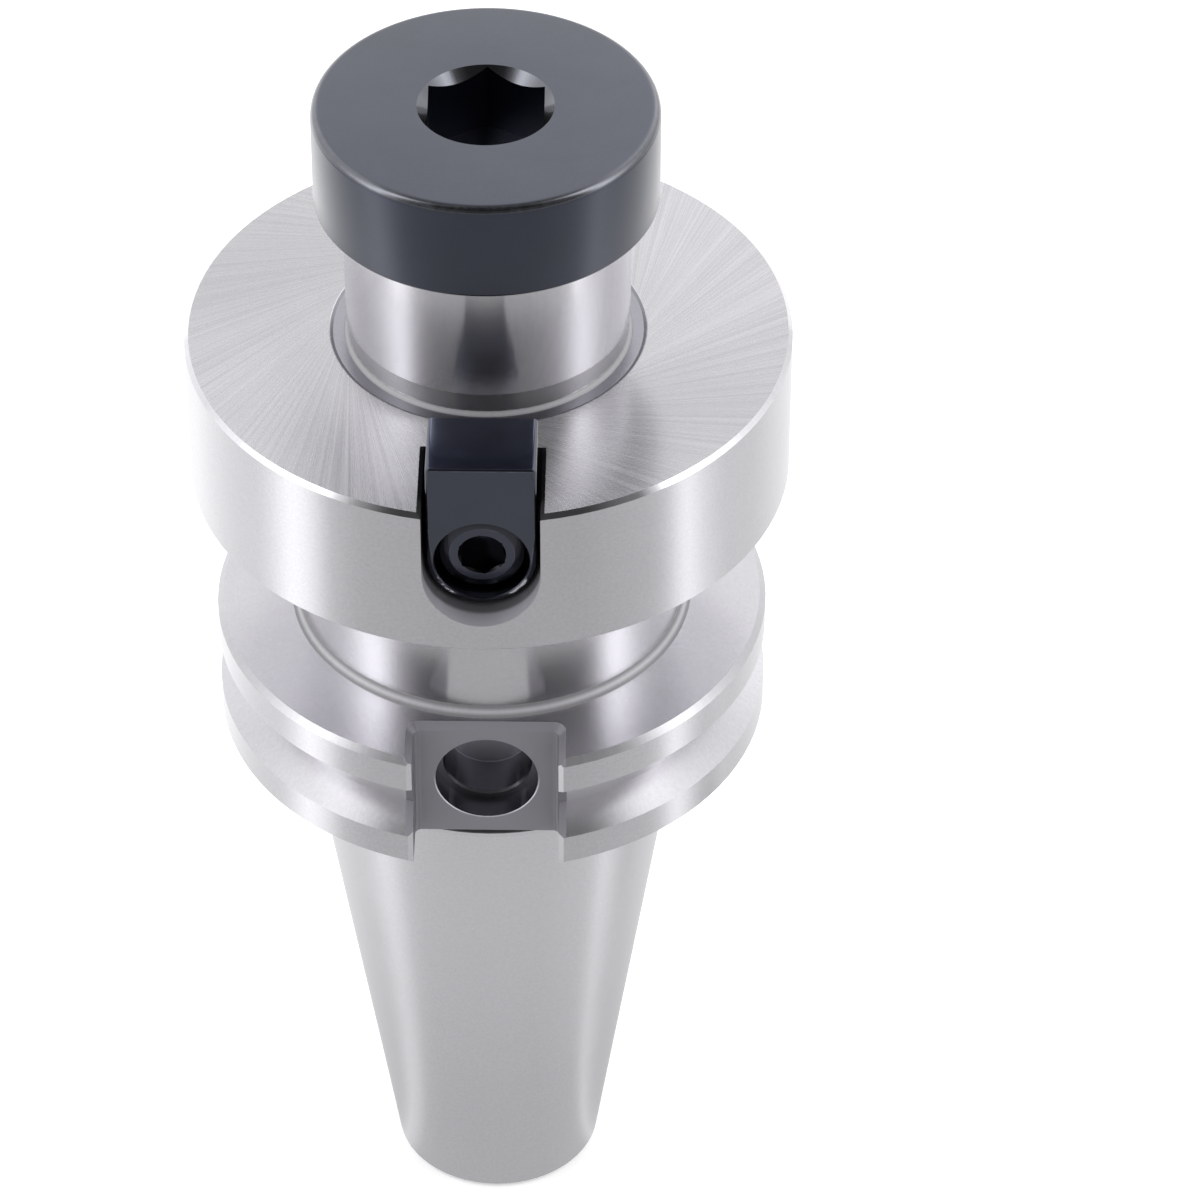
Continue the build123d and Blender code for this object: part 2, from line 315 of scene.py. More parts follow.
class Effects:
    """Shader node groups that more than one finish uses, each built once."""

    NOISE_TO_SHADE = (0.25, 0.75, -1.0, 1.0)
    CLOUDS_TO_SHADE = (0.3, 0.7, -1.0, 1.0)
    GROUND_BREAKS_PER_METRE = 12.0
    WEAR_PATCHES_PER_METRE = 900.0
    CHAMFER_SHARE = (0.004, 0.996)
    # Half width of the painted highlight line in a chamfer's middle, as a share of it
    CHAMFER_LINE = 0.36

    def __init__(self) -> None:
        """Builds the groups."""
        self.turned = self._turned()
        self.ground = self._ground()
        self.clouds = self._clouds()
        self.fillet = self._fillet()
        self.wear_and_glint = self._wear_and_glint()

    def _turned(self) -> Tree:
        """Fine rings that a lathe leaves round the axis, with their height and shade.

        Returns:
            The group's tree.
        """
        graph, given, end = new_group(
            "turned_rings",
            "ShaderNodeTree",
            {"Position": VECTOR, "Rings per Metre": FLOAT, "Drift": FLOAT},
            {"Height": FLOAT, "Shade": FLOAT},
        )
        x, y, z = graph.separate(given["Position"])
        flat = graph.combine(x, y, 0.0)
        across = graph.math("ADD", graph.vector("LENGTH", flat), z)
        outward = graph.separate(graph.vector("NORMALIZE", flat))
        place = graph.combine(
            graph.math("MULTIPLY", across, given["Rings per Metre"]),
            graph.math("MULTIPLY", outward[0], given["Drift"]),
            graph.math("MULTIPLY", outward[1], given["Drift"]),
        )
        rings = graph.noise(place, 1.0, 3.0, 0.65)
        graph.put(end.inputs["Height"], rings)
        graph.put(end.inputs["Shade"], graph.step(rings, *self.NOISE_TO_SHADE))
        return graph.tree

    def _ground(self) -> Tree:
        """Straight fine lines that a cup wheel leaves on a face, all tangent to one circle.

        Returns:
            The group's tree.
        """
        graph, given, end = new_group(
            "ground_lines",
            "ShaderNodeTree",
            {"Position": VECTOR, "Circle Radius": FLOAT, "Lines per Turn": FLOAT},
            {"Height": FLOAT, "Shade": FLOAT},
        )
        x, y, _ = graph.separate(given["Position"])
        radius = graph.vector("LENGTH", graph.combine(x, y, 0.0))
        foot = graph.foot_angle(x, y, radius, given["Circle Radius"])
        per_turn = graph.math("DIVIDE", given["Lines per Turn"], 2 * math.pi)
        place = graph.combine(
            graph.math("MULTIPLY", graph.math("COSINE", foot), per_turn),
            graph.math("MULTIPLY", graph.math("SINE", foot), per_turn),
            graph.math("MULTIPLY", radius, self.GROUND_BREAKS_PER_METRE),
        )
        lines = graph.noise(place, 1.0, 4.0, 0.8)
        graph.put(end.inputs["Height"], lines)
        graph.put(end.inputs["Shade"], graph.step(lines, *self.NOISE_TO_SHADE))
        return graph.tree

    def _clouds(self) -> Tree:
        """Soft uneven patches, as handling and oil leave on a finish, from -1 to 1.

        Returns:
            The group's tree.
        """
        graph, given, end = new_group(
            "handling_clouds", "ShaderNodeTree", {"Position": VECTOR, "Size": FLOAT}, {"Shade": FLOAT}
        )
        size = graph.combine(given["Size"], given["Size"], given["Size"])
        place = graph.vector("DIVIDE", given["Position"], size)
        patches = graph.noise(place, 1.0, 4.0, 0.6)
        graph.put(end.inputs["Shade"], graph.step(patches, *self.CLOUDS_TO_SHADE))
        return graph.tree

    def _fillet(self) -> Tree:
        """Mask of a chamfer between a wall round the axis and the face at its foot, and its middle, where a
        painted highlight line goes.

        Returns:
            The group's tree.
        """
        graph, given, end = new_group(
            "foot_fillet",
            "ShaderNodeTree",
            {"Position": VECTOR, "Wall Radius": FLOAT, "Face Height": FLOAT, "Size": FLOAT},
            {"Middle": FLOAT, "Mask": FLOAT},
        )
        x, y, z = graph.separate(given["Position"])
        flat = graph.combine(x, y, 0.0)
        over = graph.math("SUBTRACT", graph.vector("LENGTH", flat), given["Wall Radius"])
        rise = graph.math("DIVIDE", graph.math("SUBTRACT", z, given["Face Height"]), given["Size"])
        out = graph.math("DIVIDE", over, given["Size"])
        inside = graph.product(
            graph.between(rise, *self.CHAMFER_SHARE), graph.between(out, *self.CHAMFER_SHARE)
        )
        aside = graph.math("ABSOLUTE", graph.math("SUBTRACT", rise, 0.5))
        graph.put(end.inputs["Middle"], graph.step(aside, 0.0, self.CHAMFER_LINE, 1.0, 0.0))
        graph.put(end.inputs["Mask"], inside)
        return graph.tree

    def _wear_and_glint(self) -> Tree:
        """A broken mask along edges, where a dark finish has rubbed thin, and where painted glints light an
        edge.

        Returns:
            The group's tree.
        """
        graph, given, end = new_group(
            "edge_wear_and_glint",
            "ShaderNodeTree",
            {"Position": VECTOR, "Edge": FLOAT, "Amount": FLOAT},
            {"Mask": FLOAT},
        )
        patches = graph.noise(given["Position"], self.WEAR_PATCHES_PER_METRE, 3.0, 0.6)
        broken = graph.step(patches, 0.35, 0.7)
        mask = graph.product(graph.step(given["Edge"], 0.3, 0.9), broken, given["Amount"])
        graph.put(end.inputs["Mask"], graph.math("MINIMUM", mask, 1.0))
        return graph.tree


def blank_material(name: str) -> tuple[bpy.types.Material, Graph]:
    """Makes a material without nodes.

    Args:
        name: Its name.

    Returns:
        The material and its graph.
    """
    material = bpy.data.materials.new(name)
    material.use_nodes = True
    material.node_tree.nodes.clear()
    return material, Graph(material.node_tree)


@dataclass(frozen=True)
class Finish:
    """A metal finish: what every one of them has."""

    name: str
    colour: Triple
    roughness: float
    anisotropy: float

    def start(self) -> tuple[bpy.types.Material, Graph, Node]:
        """Makes the material with its shader.

        Returns:
            The material, its graph and its Principled node.
        """
        material, graph = blank_material(self.name)
        shader = graph.add("ShaderNodeBsdfPrincipled")
        graph.fill(shader, Metallic=1.0, Anisotropic=self.anisotropy)
        graph.fill(graph.add("ShaderNodeOutputMaterial"), Surface=shader.outputs[0])
        return material, graph, shader


@dataclass(frozen=True)
class GroundSteel(Finish):
    """Bright steel: ground seat face, finely turned walls and faces, milled slots and a pocket, with painted
    shade and highlights.
    """

    SHADES = {
        "seat": 0.88,
        "recess": 0.6,
        "recess_bevel": 0.75,
        "undercut": 0.7,
        # Bevels painted brighter as a highlight; the lower bevels painted darker again as shade
        "bevel": 1.2,
        "low_bevel": 0.72,
        # Painted shadow in the relief groove below the flange
        "relief_shadow": 0.15,
    }
    ROUGHNESSES = {
        "pilot": 0.18,
        "undercut": 0.42,
        "bevel": 0.08,
        "low_bevel": 0.3,
        "milled": 0.45,
        "pocket": 0.25,
    }

    slot_colour: Triple = (0.69, 0.68, 0.75)
    near: float = 0.02 * MM
    seat_slope: float = 0.95
    seat_span: Span = (SEAT_Z - 0.1 * MM, SEAT_Z + 0.1 * MM)
    recess_span: Span = (SEAT_Z - 0.3 * MM, SEAT_Z - 0.05 * MM)
    recess_floor: float = SEAT_Z - 0.2 * MM
    recess_from: float = 0.45 * MM
    recess_radius: float = 17.8 * MM
    recess_bevel: float = 0.42 * MM
    undercut_radius: float = 15.62 * MM
    undercut_spare: float = 0.05 * MM
    undercut_top: float = 59.9 * MM
    undercut_foot: float = 0.5 * MM
    pilot_limit: float = 16.0 * MM
    bevel_slope: Span = (0.66, 0.75)
    low_bevel_top: float = 50.0 * MM
    relief_span: Span = (0.62 * MM, 3.15 * MM)
    relief_limit: float = 22.6 * MM
    neck_radius: float = 22.1 * MM
    neck_foot: float = 1.0 * MM
    flange_front: float = 19.05 * MM
    taper_span: Span = (-60.0 * MM, -5.0 * MM)
    taper_shade: float = 1.04
    # Painted highlight along the foot chamfers: shade at their sides and in their middle
    neck_foot_shades: Span = (0.5, 0.98)
    pilot_foot_shades: Span = (0.42, 0.5)
    soft_metallic: float = 0.35
    soft_roughness: float = 0.45
    milled_metallic: float = 0.5
    matt_metallic: float = 0.85

    ring_shade: float = 0.03
    line_shade: float = 0.12
    grain_shade: float = 0.02
    cloud_shade: float = 0.012
    cloud_roughness: float = 0.015
    line_roughness: float = 0.03
    seat_roughness: float = 0.05
    straightened: float = 0.35
    ground_circle: float = 15.5 * MM
    lines_per_turn: float = 400.0
    rings_per_metre: float = 4200.0
    ring_drift: float = 80.0
    line_height: float = 0.5e-6
    cloud_size: float = 9.0 * MM
    grain_size: float = 0.35 * MM
    bore_limit: float = 7.2 * MM
    bore_top: float = -40.0 * MM
    bore_thread_height: float = 1500.0

    slot_half_width: float = 9.1 * MM
    slot_span: Span = (3.18 * MM, 19.04 * MM)
    slot_depths: Span = (22.3 * MM, 31.8 * MM)
    slanted: Span = (0.3, 0.95)
    level_limit: float = 0.3
    wall_limit: float = 0.6
    rim_from: float = 30.5 * MM
    key_slot_reach: float = 6.95 * MM + 0.55 * MM
    key_slot_span: Span = (38.5 * MM, SEAT_Z - 0.02 * MM)
    key_slot_from: float = 21.3 * MM
    key_slot_floor: float = 22.5 * MM
    key_slot_end: Span = (31.4 * MM, 32.2 * MM)
    key_foot_span: Span = (KEY_AXIS_Z, KEY_AXIS_Z + 2 * MM)
    # Painted shade in the key slots: below the foot, darker in the gaps beside the key, lighter towards the
    # open end
    key_slot_shades: Span = (0.2, 0.03)
    key_slot_end_shade: float = 0.6
    milled_shade: float = 0.36
    # Painted light on upward faces of the slots, painted shade on their slanted faces
    upward_light: float = 0.1
    slanted_shade: float = 0.8

    pocket_z: float = 11.13 * MM
    pocket_floor: float = 24.4 * MM
    pocket_reach: float = 6.2 * MM
    pocket_depths: Span = (0.02 * MM, 9.0 * MM)
    pocket_end: float = 8.15 * MM
    # Painted shade on the pocket's walls and ledge, painted light on its end face
    pocket_shades: Span = (0.42, 1.25)
    ledge_depths: Span = (2.9 * MM, 3.3 * MM)
    ledge_shade: float = 0.3
    # A painted highlight ring along the lower mouth, with painted glints at its lower sides
    mouth_ring: Span = (5.8 * MM, 6.0 * MM)
    mouth_fade: Span = (2.5 * MM, 1.0 * MM)
    mouth_glint: tuple[float, float, float, float] = (1.5 * MM, 4.0 * MM, 0.4, 0.9)
    mouth_highlight_shade: float = 1.15

    def _milled(self, graph: Graph, place: Sequence[Value], facing: Sequence[Value]) -> tuple[Value, Value]:
        """Mask of the drive slots and key slots and their shade, with painted light on upward faces and
        painted shade on slanted faces and round the keys.

        Args:
            graph: The material's graph.
            place: Across the slots, along the key axis and along the arbor's axis.
            facing: The normal along the same three.

        Returns:
            The mask and the shade.
        """
        x, y, z = place
        deep = graph.math("ABSOLUTE", y)
        slanted = graph.between(graph.math("ABSOLUTE", facing[0]), *self.slanted)
        broken = graph.product(
            slanted,
            graph.math("LESS_THAN", graph.math("ABSOLUTE", facing[2]), self.level_limit),
            graph.math("GREATER_THAN", graph.vector("LENGTH", graph.combine(x, y, 0.0)), self.rim_from),
        )
        drive = graph.product(
            graph.math("LESS_THAN", graph.math("ABSOLUTE", x), self.slot_half_width),
            graph.between(z, *self.slot_span),
            graph.between(deep, *self.slot_depths),
            graph.math("SUBTRACT", 1.0, broken),
        )
        below = graph.math("MINIMUM", graph.math("SUBTRACT", z, KEY_AXIS_Z), 0.0)
        reach = graph.vector("LENGTH", graph.combine(x, below, 0.0))
        wall = graph.math("LESS_THAN", graph.math("ABSOLUTE", facing[1]), self.wall_limit)
        key = graph.product(
            graph.math("LESS_THAN", reach, self.key_slot_reach),
            graph.math("MAXIMUM", wall, graph.math("LESS_THAN", deep, self.key_slot_floor)),
            graph.between(z, *self.key_slot_span),
            graph.math("GREATER_THAN", deep, self.key_slot_from),
        )
        # The key slot's open end, painted less shaded further from the key
        open_end = graph.product(
            graph.step(deep, *self.key_slot_end), graph.step(z, *self.key_foot_span, 1.0, 0.0)
        )
        # Painted shade round the key
        key_shadow = graph.step(z, *self.key_foot_span, *self.key_slot_shades)
        # Painted light on upward faces, painted shade on slanted ones
        upward = graph.math("MAXIMUM", facing[2], 0.0)
        lit = graph.math("MULTIPLY_ADD", upward, self.upward_light, self.milled_shade)
        lit = graph.math("MULTIPLY", lit, graph.blend(slanted, 1.0, self.slanted_shade))
        shade = graph.blend(key, lit, graph.blend(open_end, key_shadow, self.key_slot_end_shade))
        return graph.math("MAXIMUM", drive, key), shade

    def _pocket(self, graph: Graph, place: Sequence[Value]) -> tuple[Value, Value, Value]:
        """Masks of the round pocket and of a painted highlight ring at its mouth, and the painted shade
        inside it.

        Args:
            graph: The material's graph.
            place: Across the slot, inwards along the pocket and along the arbor's axis.

        Returns:
            The pocket's mask, the ring's mask and the shade.
        """
        x, y, z = place
        reach = graph.vector("LENGTH", graph.combine(x, graph.math("SUBTRACT", z, self.pocket_z), 0.0))
        depth = graph.math("ADD", y, self.pocket_floor)
        mask = graph.product(
            graph.math("LESS_THAN", reach, self.pocket_reach), graph.between(depth, *self.pocket_depths)
        )
        # Painted shade inside the pocket, lighter on its end face
        shade = graph.blend(graph.math("GREATER_THAN", depth, self.pocket_end), *self.pocket_shades)
        shade = graph.blend(graph.between(depth, *self.ledge_depths), shade, self.ledge_shade)
        low, high = self.mouth_fade
        # Painted highlight ring at the mouth
        ring = graph.product(
            graph.between(reach, *self.mouth_ring),
            graph.between(depth, -self.near, self.near),
            graph.step(z, self.pocket_z - low, self.pocket_z + high, 1.0, 0.0),
            graph.step(graph.math("ABSOLUTE", x), *self.mouth_glint),
        )
        return mask, ring, shade

    def _zones(self, graph: Graph, z: Value, radius: Value, up: Value) -> dict[str, Value]:
        """Masks of the turned faces that differ from the rest.

        Args:
            graph: The material's graph.
            z: Along the arbor's axis.
            radius: Distance from the axis.
            up: The normal along the axis.

        Returns:
            Each face's mask by name.
        """
        recess = graph.product(
            graph.between(z, *self.recess_span),
            graph.between(radius, self.undercut_radius + self.recess_from, self.recess_radius),
        )
        bevel = graph.between(graph.math("ABSOLUTE", up), *self.bevel_slope)
        return {
            "seat": graph.product(
                graph.math("GREATER_THAN", up, self.seat_slope), graph.between(z, *self.seat_span)
            ),
            "recess": recess,
            "recess_bevel": graph.product(
                recess, graph.math("GREATER_THAN", radius, self.recess_radius - self.recess_bevel)
            ),
            "undercut": graph.product(
                graph.between(z, self.recess_span[0], self.undercut_top),
                graph.math("LESS_THAN", radius, self.undercut_radius + self.undercut_spare),
            ),
            "bevel": bevel,
            "low_bevel": graph.product(bevel, graph.math("LESS_THAN", z, self.low_bevel_top)),
            # Where the painted shadow of the relief groove goes
            "relief_shadow": graph.product(
                graph.between(z, *self.relief_span), graph.math("LESS_THAN", radius, self.relief_limit)
            ),
            "pilot": graph.product(
                graph.math("GREATER_THAN", z, self.undercut_top),
                graph.math("LESS_THAN", radius, self.pilot_limit),
            ),
        }

    def _height(self, graph: Graph, place: Sequence[Value], radius: Value, tool_marks: Value) -> Socket:
        """Height of the tool marks and of the thread in the small end's bore.

        Args:
            graph: The material's graph.
            place: The point's three coordinates.
            radius: Its distance from the axis.
            tool_marks: Height of the marks.

        Returns:
            The height's socket.
        """
        x, y, z = place
        turns = graph.math("DIVIDE", graph.math("ARCTAN2", y, x), 2 * math.pi)
        wound = graph.math("ADD", graph.math("DIVIDE", z, THREAD_PITCH), turns)
        thread = graph.math("PINGPONG", wound, 0.5)
        tapped = graph.product(
            graph.math("LESS_THAN", z, self.bore_top), graph.math("LESS_THAN", radius, self.bore_limit)
        )
        return graph.math("ADD", tool_marks, graph.product(thread, tapped, self.bore_thread_height))

    def material(self, effects: Effects) -> bpy.types.Material:
        """Builds the material.

        Args:
            effects: The shared node groups.

        Returns:
            The material.
        """
        material, graph, shader = self.start()
        position = graph.add("ShaderNodeTexCoord").outputs["Object"]
        facing = graph.add("ShaderNodeNewGeometry").outputs["Normal"]
        place, faces = graph.separate(position), graph.separate(facing)
        x, y, z = place
        flat = graph.combine(x, y, 0.0)
        radius = graph.vector("LENGTH", flat)

        zones = self._zones(graph, z, radius, faces[2])
        zones["milled"], milled_shade = self._milled(graph, place, faces)
        zones["pocket"], mouth, pocket_shade = self._pocket(graph, place)
        seat, milled, pocket = zones["seat"], zones["milled"], zones["pocket"]
        neck_foot, pilot_foot = (
            graph.group(effects.fillet, Position=position, Wall_Radius=wall, Face_Height=face, Size=size)
            for wall, face, size in (
                (self.neck_radius, self.flange_front, self.neck_foot),
                (self.undercut_radius, self.recess_floor, self.undercut_foot),
            )
        )
        foot_ring = graph.math("MAXIMUM", neck_foot.outputs["Mask"], pilot_foot.outputs["Mask"])
        soft = graph.math("MAXIMUM", foot_ring, mouth)

        rings = graph.group(
            effects.turned, Position=position, Rings_per_Metre=self.rings_per_metre, Drift=self.ring_drift
        )
        lines = graph.group(
            effects.ground,
            Position=position,
            Circle_Radius=self.ground_circle,
            Lines_per_Turn=self.lines_per_turn,
        )
        clouds = graph.group(effects.clouds, Position=position, Size=self.cloud_size).outputs["Shade"]
        grain = graph.group(effects.clouds, Position=position, Size=self.grain_size).outputs["Shade"]

        turned_marks = graph.math("MULTIPLY", rings.outputs["Shade"], self.ring_shade)
        ground_marks = graph.math("MULTIPLY", lines.outputs["Shade"], self.line_shade)
        marks = graph.blend(seat, turned_marks, ground_marks)
        marks = graph.math("MULTIPLY_ADD", grain, self.grain_shade, marks)
        shade = graph.math("MULTIPLY_ADD", clouds, self.cloud_shade, graph.math("ADD", marks, 1.0))
        taper = graph.product(graph.math("LESS_THAN", z, 0.0), graph.step(z, *self.taper_span))
        shades = [(zones[name], level) for name, level in self.SHADES.items()]
        # The foot chamfers: a painted highlight line in their middle
        for foot, levels in ((neck_foot, self.neck_foot_shades), (pilot_foot, self.pilot_foot_shades)):
            shades.append((foot.outputs["Mask"], graph.blend(foot.outputs["Middle"], *levels)))
        for mask, level in (*shades, (taper, self.taper_shade)):
            shade = graph.math("MULTIPLY", shade, graph.blend(mask, 1.0, level))
        # The slots' and pocket's painted light and shade, and the mouth's painted highlight, take the place
        # of the steel's shade
        for mask, level in ((milled, milled_shade), (pocket, pocket_shade), (mouth, self.mouth_highlight_shade)):
            shade = graph.blend(mask, shade, level)
        cool = graph.math("MAXIMUM", milled, graph.math("MAXIMUM", zones["recess"], pocket))
        colour = graph.blend_vector(cool, self.colour, self.slot_colour)

        slots = graph.product(milled, graph.math("SUBTRACT", 1.0, pocket))
        matt = graph.math("MAXIMUM", seat, zones["low_bevel"])
        bare = graph.product(
            graph.blend(slots, 1.0, self.milled_metallic), graph.blend(matt, 1.0, self.matt_metallic)
        )

        rough = graph.math("MULTIPLY_ADD", clouds, self.cloud_roughness, self.roughness)
        base = self.roughness + self.seat_roughness
        seat_rough = graph.math("MULTIPLY_ADD", lines.outputs["Shade"], self.line_roughness, base)
        rough = graph.blend(seat, rough, seat_rough)
        for name, level in self.ROUGHNESSES.items():
            rough = graph.blend(zones[name], rough, level)

        tool_marks = graph.blend(seat, rings.outputs["Height"], lines.outputs["Height"])
        raised = graph.blend_vector(self.straightened, facing, UP)
        bump = graph.fill(
            graph.add("ShaderNodeBump"),
            Strength=1.0,
            Distance=self.line_height,
            Height=self._height(graph, place, radius, tool_marks),
            Normal=graph.blend_vector(foot_ring, facing, raised),
        )

        foot = graph.foot_angle(x, y, radius, self.ground_circle)
        backwards = graph.math("MULTIPLY", graph.math("SINE", foot), -1.0)
        along = graph.combine(backwards, graph.math("COSINE", foot), 0.0)
        round_axis = graph.vector("CROSS_PRODUCT", UP, graph.vector("NORMALIZE", flat))
        groove = graph.blend_vector(seat, round_axis, along)
        graph.fill(
            shader,
            Base_Color=graph.tint(colour, shade),
            Metallic=graph.blend(soft, bare, self.soft_metallic),
            Roughness=graph.blend(soft, rough, self.soft_roughness),
            Normal=bump.outputs[0],
            Tangent=graph.vector("CROSS_PRODUCT", facing, groove),
        )
        return material


@dataclass(frozen=True)
class DarkSteel(Finish):
    """Oiled black steel with faint tool marks, rubbed brighter along its edges with painted glints, painted
    shade on its slopes and painted highlights on its rounds.
    """

    # Colour of slopes and sides, painted darker than the flat faces as shade
    slope_shade_colour: Triple = (0.03, 0.04, 0.07)
    flat_along: int = 2
    flat_share: Span = (0.3, 0.9)
    oil_roughness: float = 0.12
    oil_index: float = 1.5
    rings_per_metre: float = 2500.0
    ring_height: float = 0.3e-6
    cloud_size: float = 6.0 * MM
    grain_size: float = 0.3 * MM
    shade_spread: float = 0.05
    roughness_spread: float = 0.02
    edge_polish: float = 0.6
    # Edge wear; set high, it paints glints along the edges
    wear_and_glint: float = 0.5
    worn_and_glint_colour: Triple = (0.3, 0.3, 0.32)
    worn_and_glint_matt: float = 0.7
    # Painted highlight on rounds and cones: its share, the slopes where it lies, and its colour
    round_glint_share: float = 0.0
    round_from: Span = (0.25, 0.45)
    round_to: Span = (0.9, 0.985)
    round_glint_colour: Triple = (0.14, 0.145, 0.17)
    round_roughness: float = 0.1

    def material(self, effects: Effects) -> bpy.types.Material:
        """Builds the material.

        Args:
            effects: The shared node groups.

        Returns:
            The material.
        """
        material, graph, shader = self.start()
        position = graph.add("ShaderNodeTexCoord").outputs["Object"]
        facing = graph.separate(graph.add("ShaderNodeNewGeometry").outputs["Normal"])
        along = graph.math("ABSOLUTE", facing[self.flat_along])
        edge = graph.add("ShaderNodeAttribute", attribute_name="edge").outputs["Fac"]
        rings = graph.group(
            effects.turned, Position=position, Rings_per_Metre=self.rings_per_metre, Drift=1.0
        )
        clouds = graph.group(effects.clouds, Position=position, Size=self.cloud_size).outputs["Shade"]
        grain = graph.group(effects.clouds, Position=position, Size=self.grain_size).outputs["Shade"]
        # Edge wear, and painted glints where the amount is high
        worn_and_glint = graph.group(effects.wear_and_glint, Position=position, Edge=edge, Amount=self.wear_and_glint).outputs["Mask"]

        # Painted shade: slopes and sides take the darker colour
        colour = graph.blend_vector(graph.step(along, *self.flat_share), self.slope_shade_colour, self.colour)
        # Painted highlight: rounds and cones take a brighter colour
        rounding = graph.product(
            graph.step(along, *self.round_from), graph.step(along, *self.round_to, 1.0, 0.0), self.round_glint_share
        )
        colour = graph.blend_vector(rounding, colour, self.round_glint_colour)
        shade = graph.math("MULTIPLY_ADD", clouds, self.shade_spread, 1.0)
        shade = graph.math("MULTIPLY_ADD", grain, self.shade_spread / 2, shade)
        rough = graph.math("MULTIPLY_ADD", clouds, self.roughness_spread, self.roughness)
        rough = graph.blend(graph.math("MULTIPLY", edge, self.edge_polish), rough, self.roughness / 2)
        bump = graph.fill(
            graph.add("ShaderNodeBump"), Distance=self.ring_height, Height=rings.outputs["Height"]
        )
        graph.fill(
            shader,
            Base_Color=graph.blend_vector(worn_and_glint, graph.tint(colour, shade), self.worn_and_glint_colour),
            Metallic=graph.math("MULTIPLY_ADD", worn_and_glint, -self.worn_and_glint_matt, 1.0),
            Roughness=graph.blend(rounding, rough, self.round_roughness),
            Normal=bump.outputs[0],
            Coat_Weight=1.0,
            Coat_Roughness=self.oil_roughness,
            Coat_IOR=self.oil_index,
        )
        return material


def rounded_profile(corners: Sequence[EdgePoint], steps: int = 6) -> list[EdgePoint]:
    """Outline of a turned piece with rounded corners.

    Args:
        corners: Radius from the axis, height and rounding of each corner.
        steps: Pieces of each rounding.

    Returns:
        Points as radius, height and how much of an edge they are, from 0 to 1.
    """
    points: list[EdgePoint] = []
    for index, (radius, height, rounding) in enumerate(corners):
        here = Vector((radius, height))
        if rounding <= 0.0:
            points.append((radius, height, 0.0))
            continue
        back = (Vector(corners[index - 1][:2]) - here).normalized()
        ahead = (Vector(corners[index + 1][:2]) - here).normalized()
        half = back.angle(ahead) / 2
        centre = here + (back + ahead).normalized() * rounding / math.sin(half)
        first = here + back * rounding / math.tan(half) - centre
        last = here + ahead * rounding / math.tan(half) - centre
        for share in range(steps + 1):
            at = centre + first.slerp(last, share / steps).normalized() * rounding
            points.append((at.x, at.y, math.sin(math.pi * share / steps)))
    return points


def skin(
    name: str,
    rings: Sequence[Sequence[Vector]],
    edges: Sequence[Union[float, Sequence[float]]],
    ring_shaped: bool = False,
) -> bpy.types.Mesh:
    """Skins a row of rings.

    Args:
        name: The mesh's name.
        rings: Points of each ring, as many in every one, or a single point at a pole.
        edges: How much of an edge each ring is, from 0 to 1, or each point of it.
        ring_shaped: Whether the last ring joins the first.

    Returns:
        The mesh, its faces pointing outwards, with the attribute edge on its points.
    """
    made = bmesh.new()
    layer = made.verts.layers.float.new("edge")
    rows = []
    for ring, edge in zip(rings, edges):
        row = [made.verts.new(point) for point in ring]
        for index, vertex in enumerate(row):
            vertex[layer] = edge[index] if isinstance(edge, Sequence) else edge
        rows.append(row)
    count = max(len(row) for row in rows)
    following = rows[1:] + rows[:1] if ring_shaped else rows[1:]
    for low, high in zip(rows, following):
        for index in range(count):
            beside = (index + 1) % count
            corners = [low[index % len(low)], low[beside % len(low)]]
            corners += [high[beside % len(high)], high[index % len(high)]]
            corners = list(dict.fromkeys(corners))
            if len(corners) > 2:
                made.faces.new(corners)
    bmesh.ops.recalc_face_normals(made, faces=made.faces)
    mesh = bpy.data.meshes.new(name)
    made.to_mesh(mesh)
    made.free()
    return mesh


def turned(name: str, profile: Sequence[EdgePoint], segments: int, turn: float = 0.0) -> bpy.types.Mesh:
    """Turns a profile round Z.

    Args:
        name: The mesh's name.
        profile: Radius, height and edge share of each point, from the bottom pole to the top pole.
        segments: Points round the axis.
        turn: Angle of the first point.

    Returns:
        The mesh.
    """
    angles = [turn + 2 * math.pi * index / segments for index in range(segments)]
    rings = [
        [Vector((0.0, 0.0, height))]
        if radius == 0.0
        else [Vector((radius * math.cos(angle), radius * math.sin(angle), height)) for angle in angles]
        for radius, height, _ in profile
    ]
    return skin(name, rings, [edge for _, _, edge in profile])


def place(name: str, mesh: bpy.types.Mesh) -> bpy.types.Object:
    """Adds a mesh to the scene as an object at the origin.

    Args:
        name: The object's name.
        mesh: Its mesh.

    Returns:
        The object.
    """
    piece = bpy.data.objects.new(name, mesh)
    bpy.context.scene.collection.objects.link(piece)
    return piece


def settled(worker: bpy.types.Object, name: str, sharp_degrees: float = 32.0) -> bpy.types.Object:
    """Turns an object with modifiers into a plain mesh piece, and removes the object.

    Args:
        worker: The object with its modifiers.
        name: The new piece's name.
        sharp_degrees: Angle from which an edge shows sharp.

    Returns:
        The piece.
    """
    bpy.context.view_layer.update()
    graph = bpy.context.evaluated_depsgraph_get()
    mesh = bpy.data.meshes.new_from_object(
        worker.evaluated_get(graph), preserve_all_data_layers=True, depsgraph=graph
    )
    bpy.data.objects.remove(worker)
    made = bmesh.new()
    made.from_mesh(mesh)
    bmesh.ops.recalc_face_normals(made, faces=made.faces)
    made.to_mesh(mesh)
    made.free()
    mesh.polygons.foreach_set("use_smooth", [True] * len(mesh.polygons))
    mesh.set_sharp_from_angle(angle=math.radians(sharp_degrees))
    mesh.name = name
    return place(name, mesh)


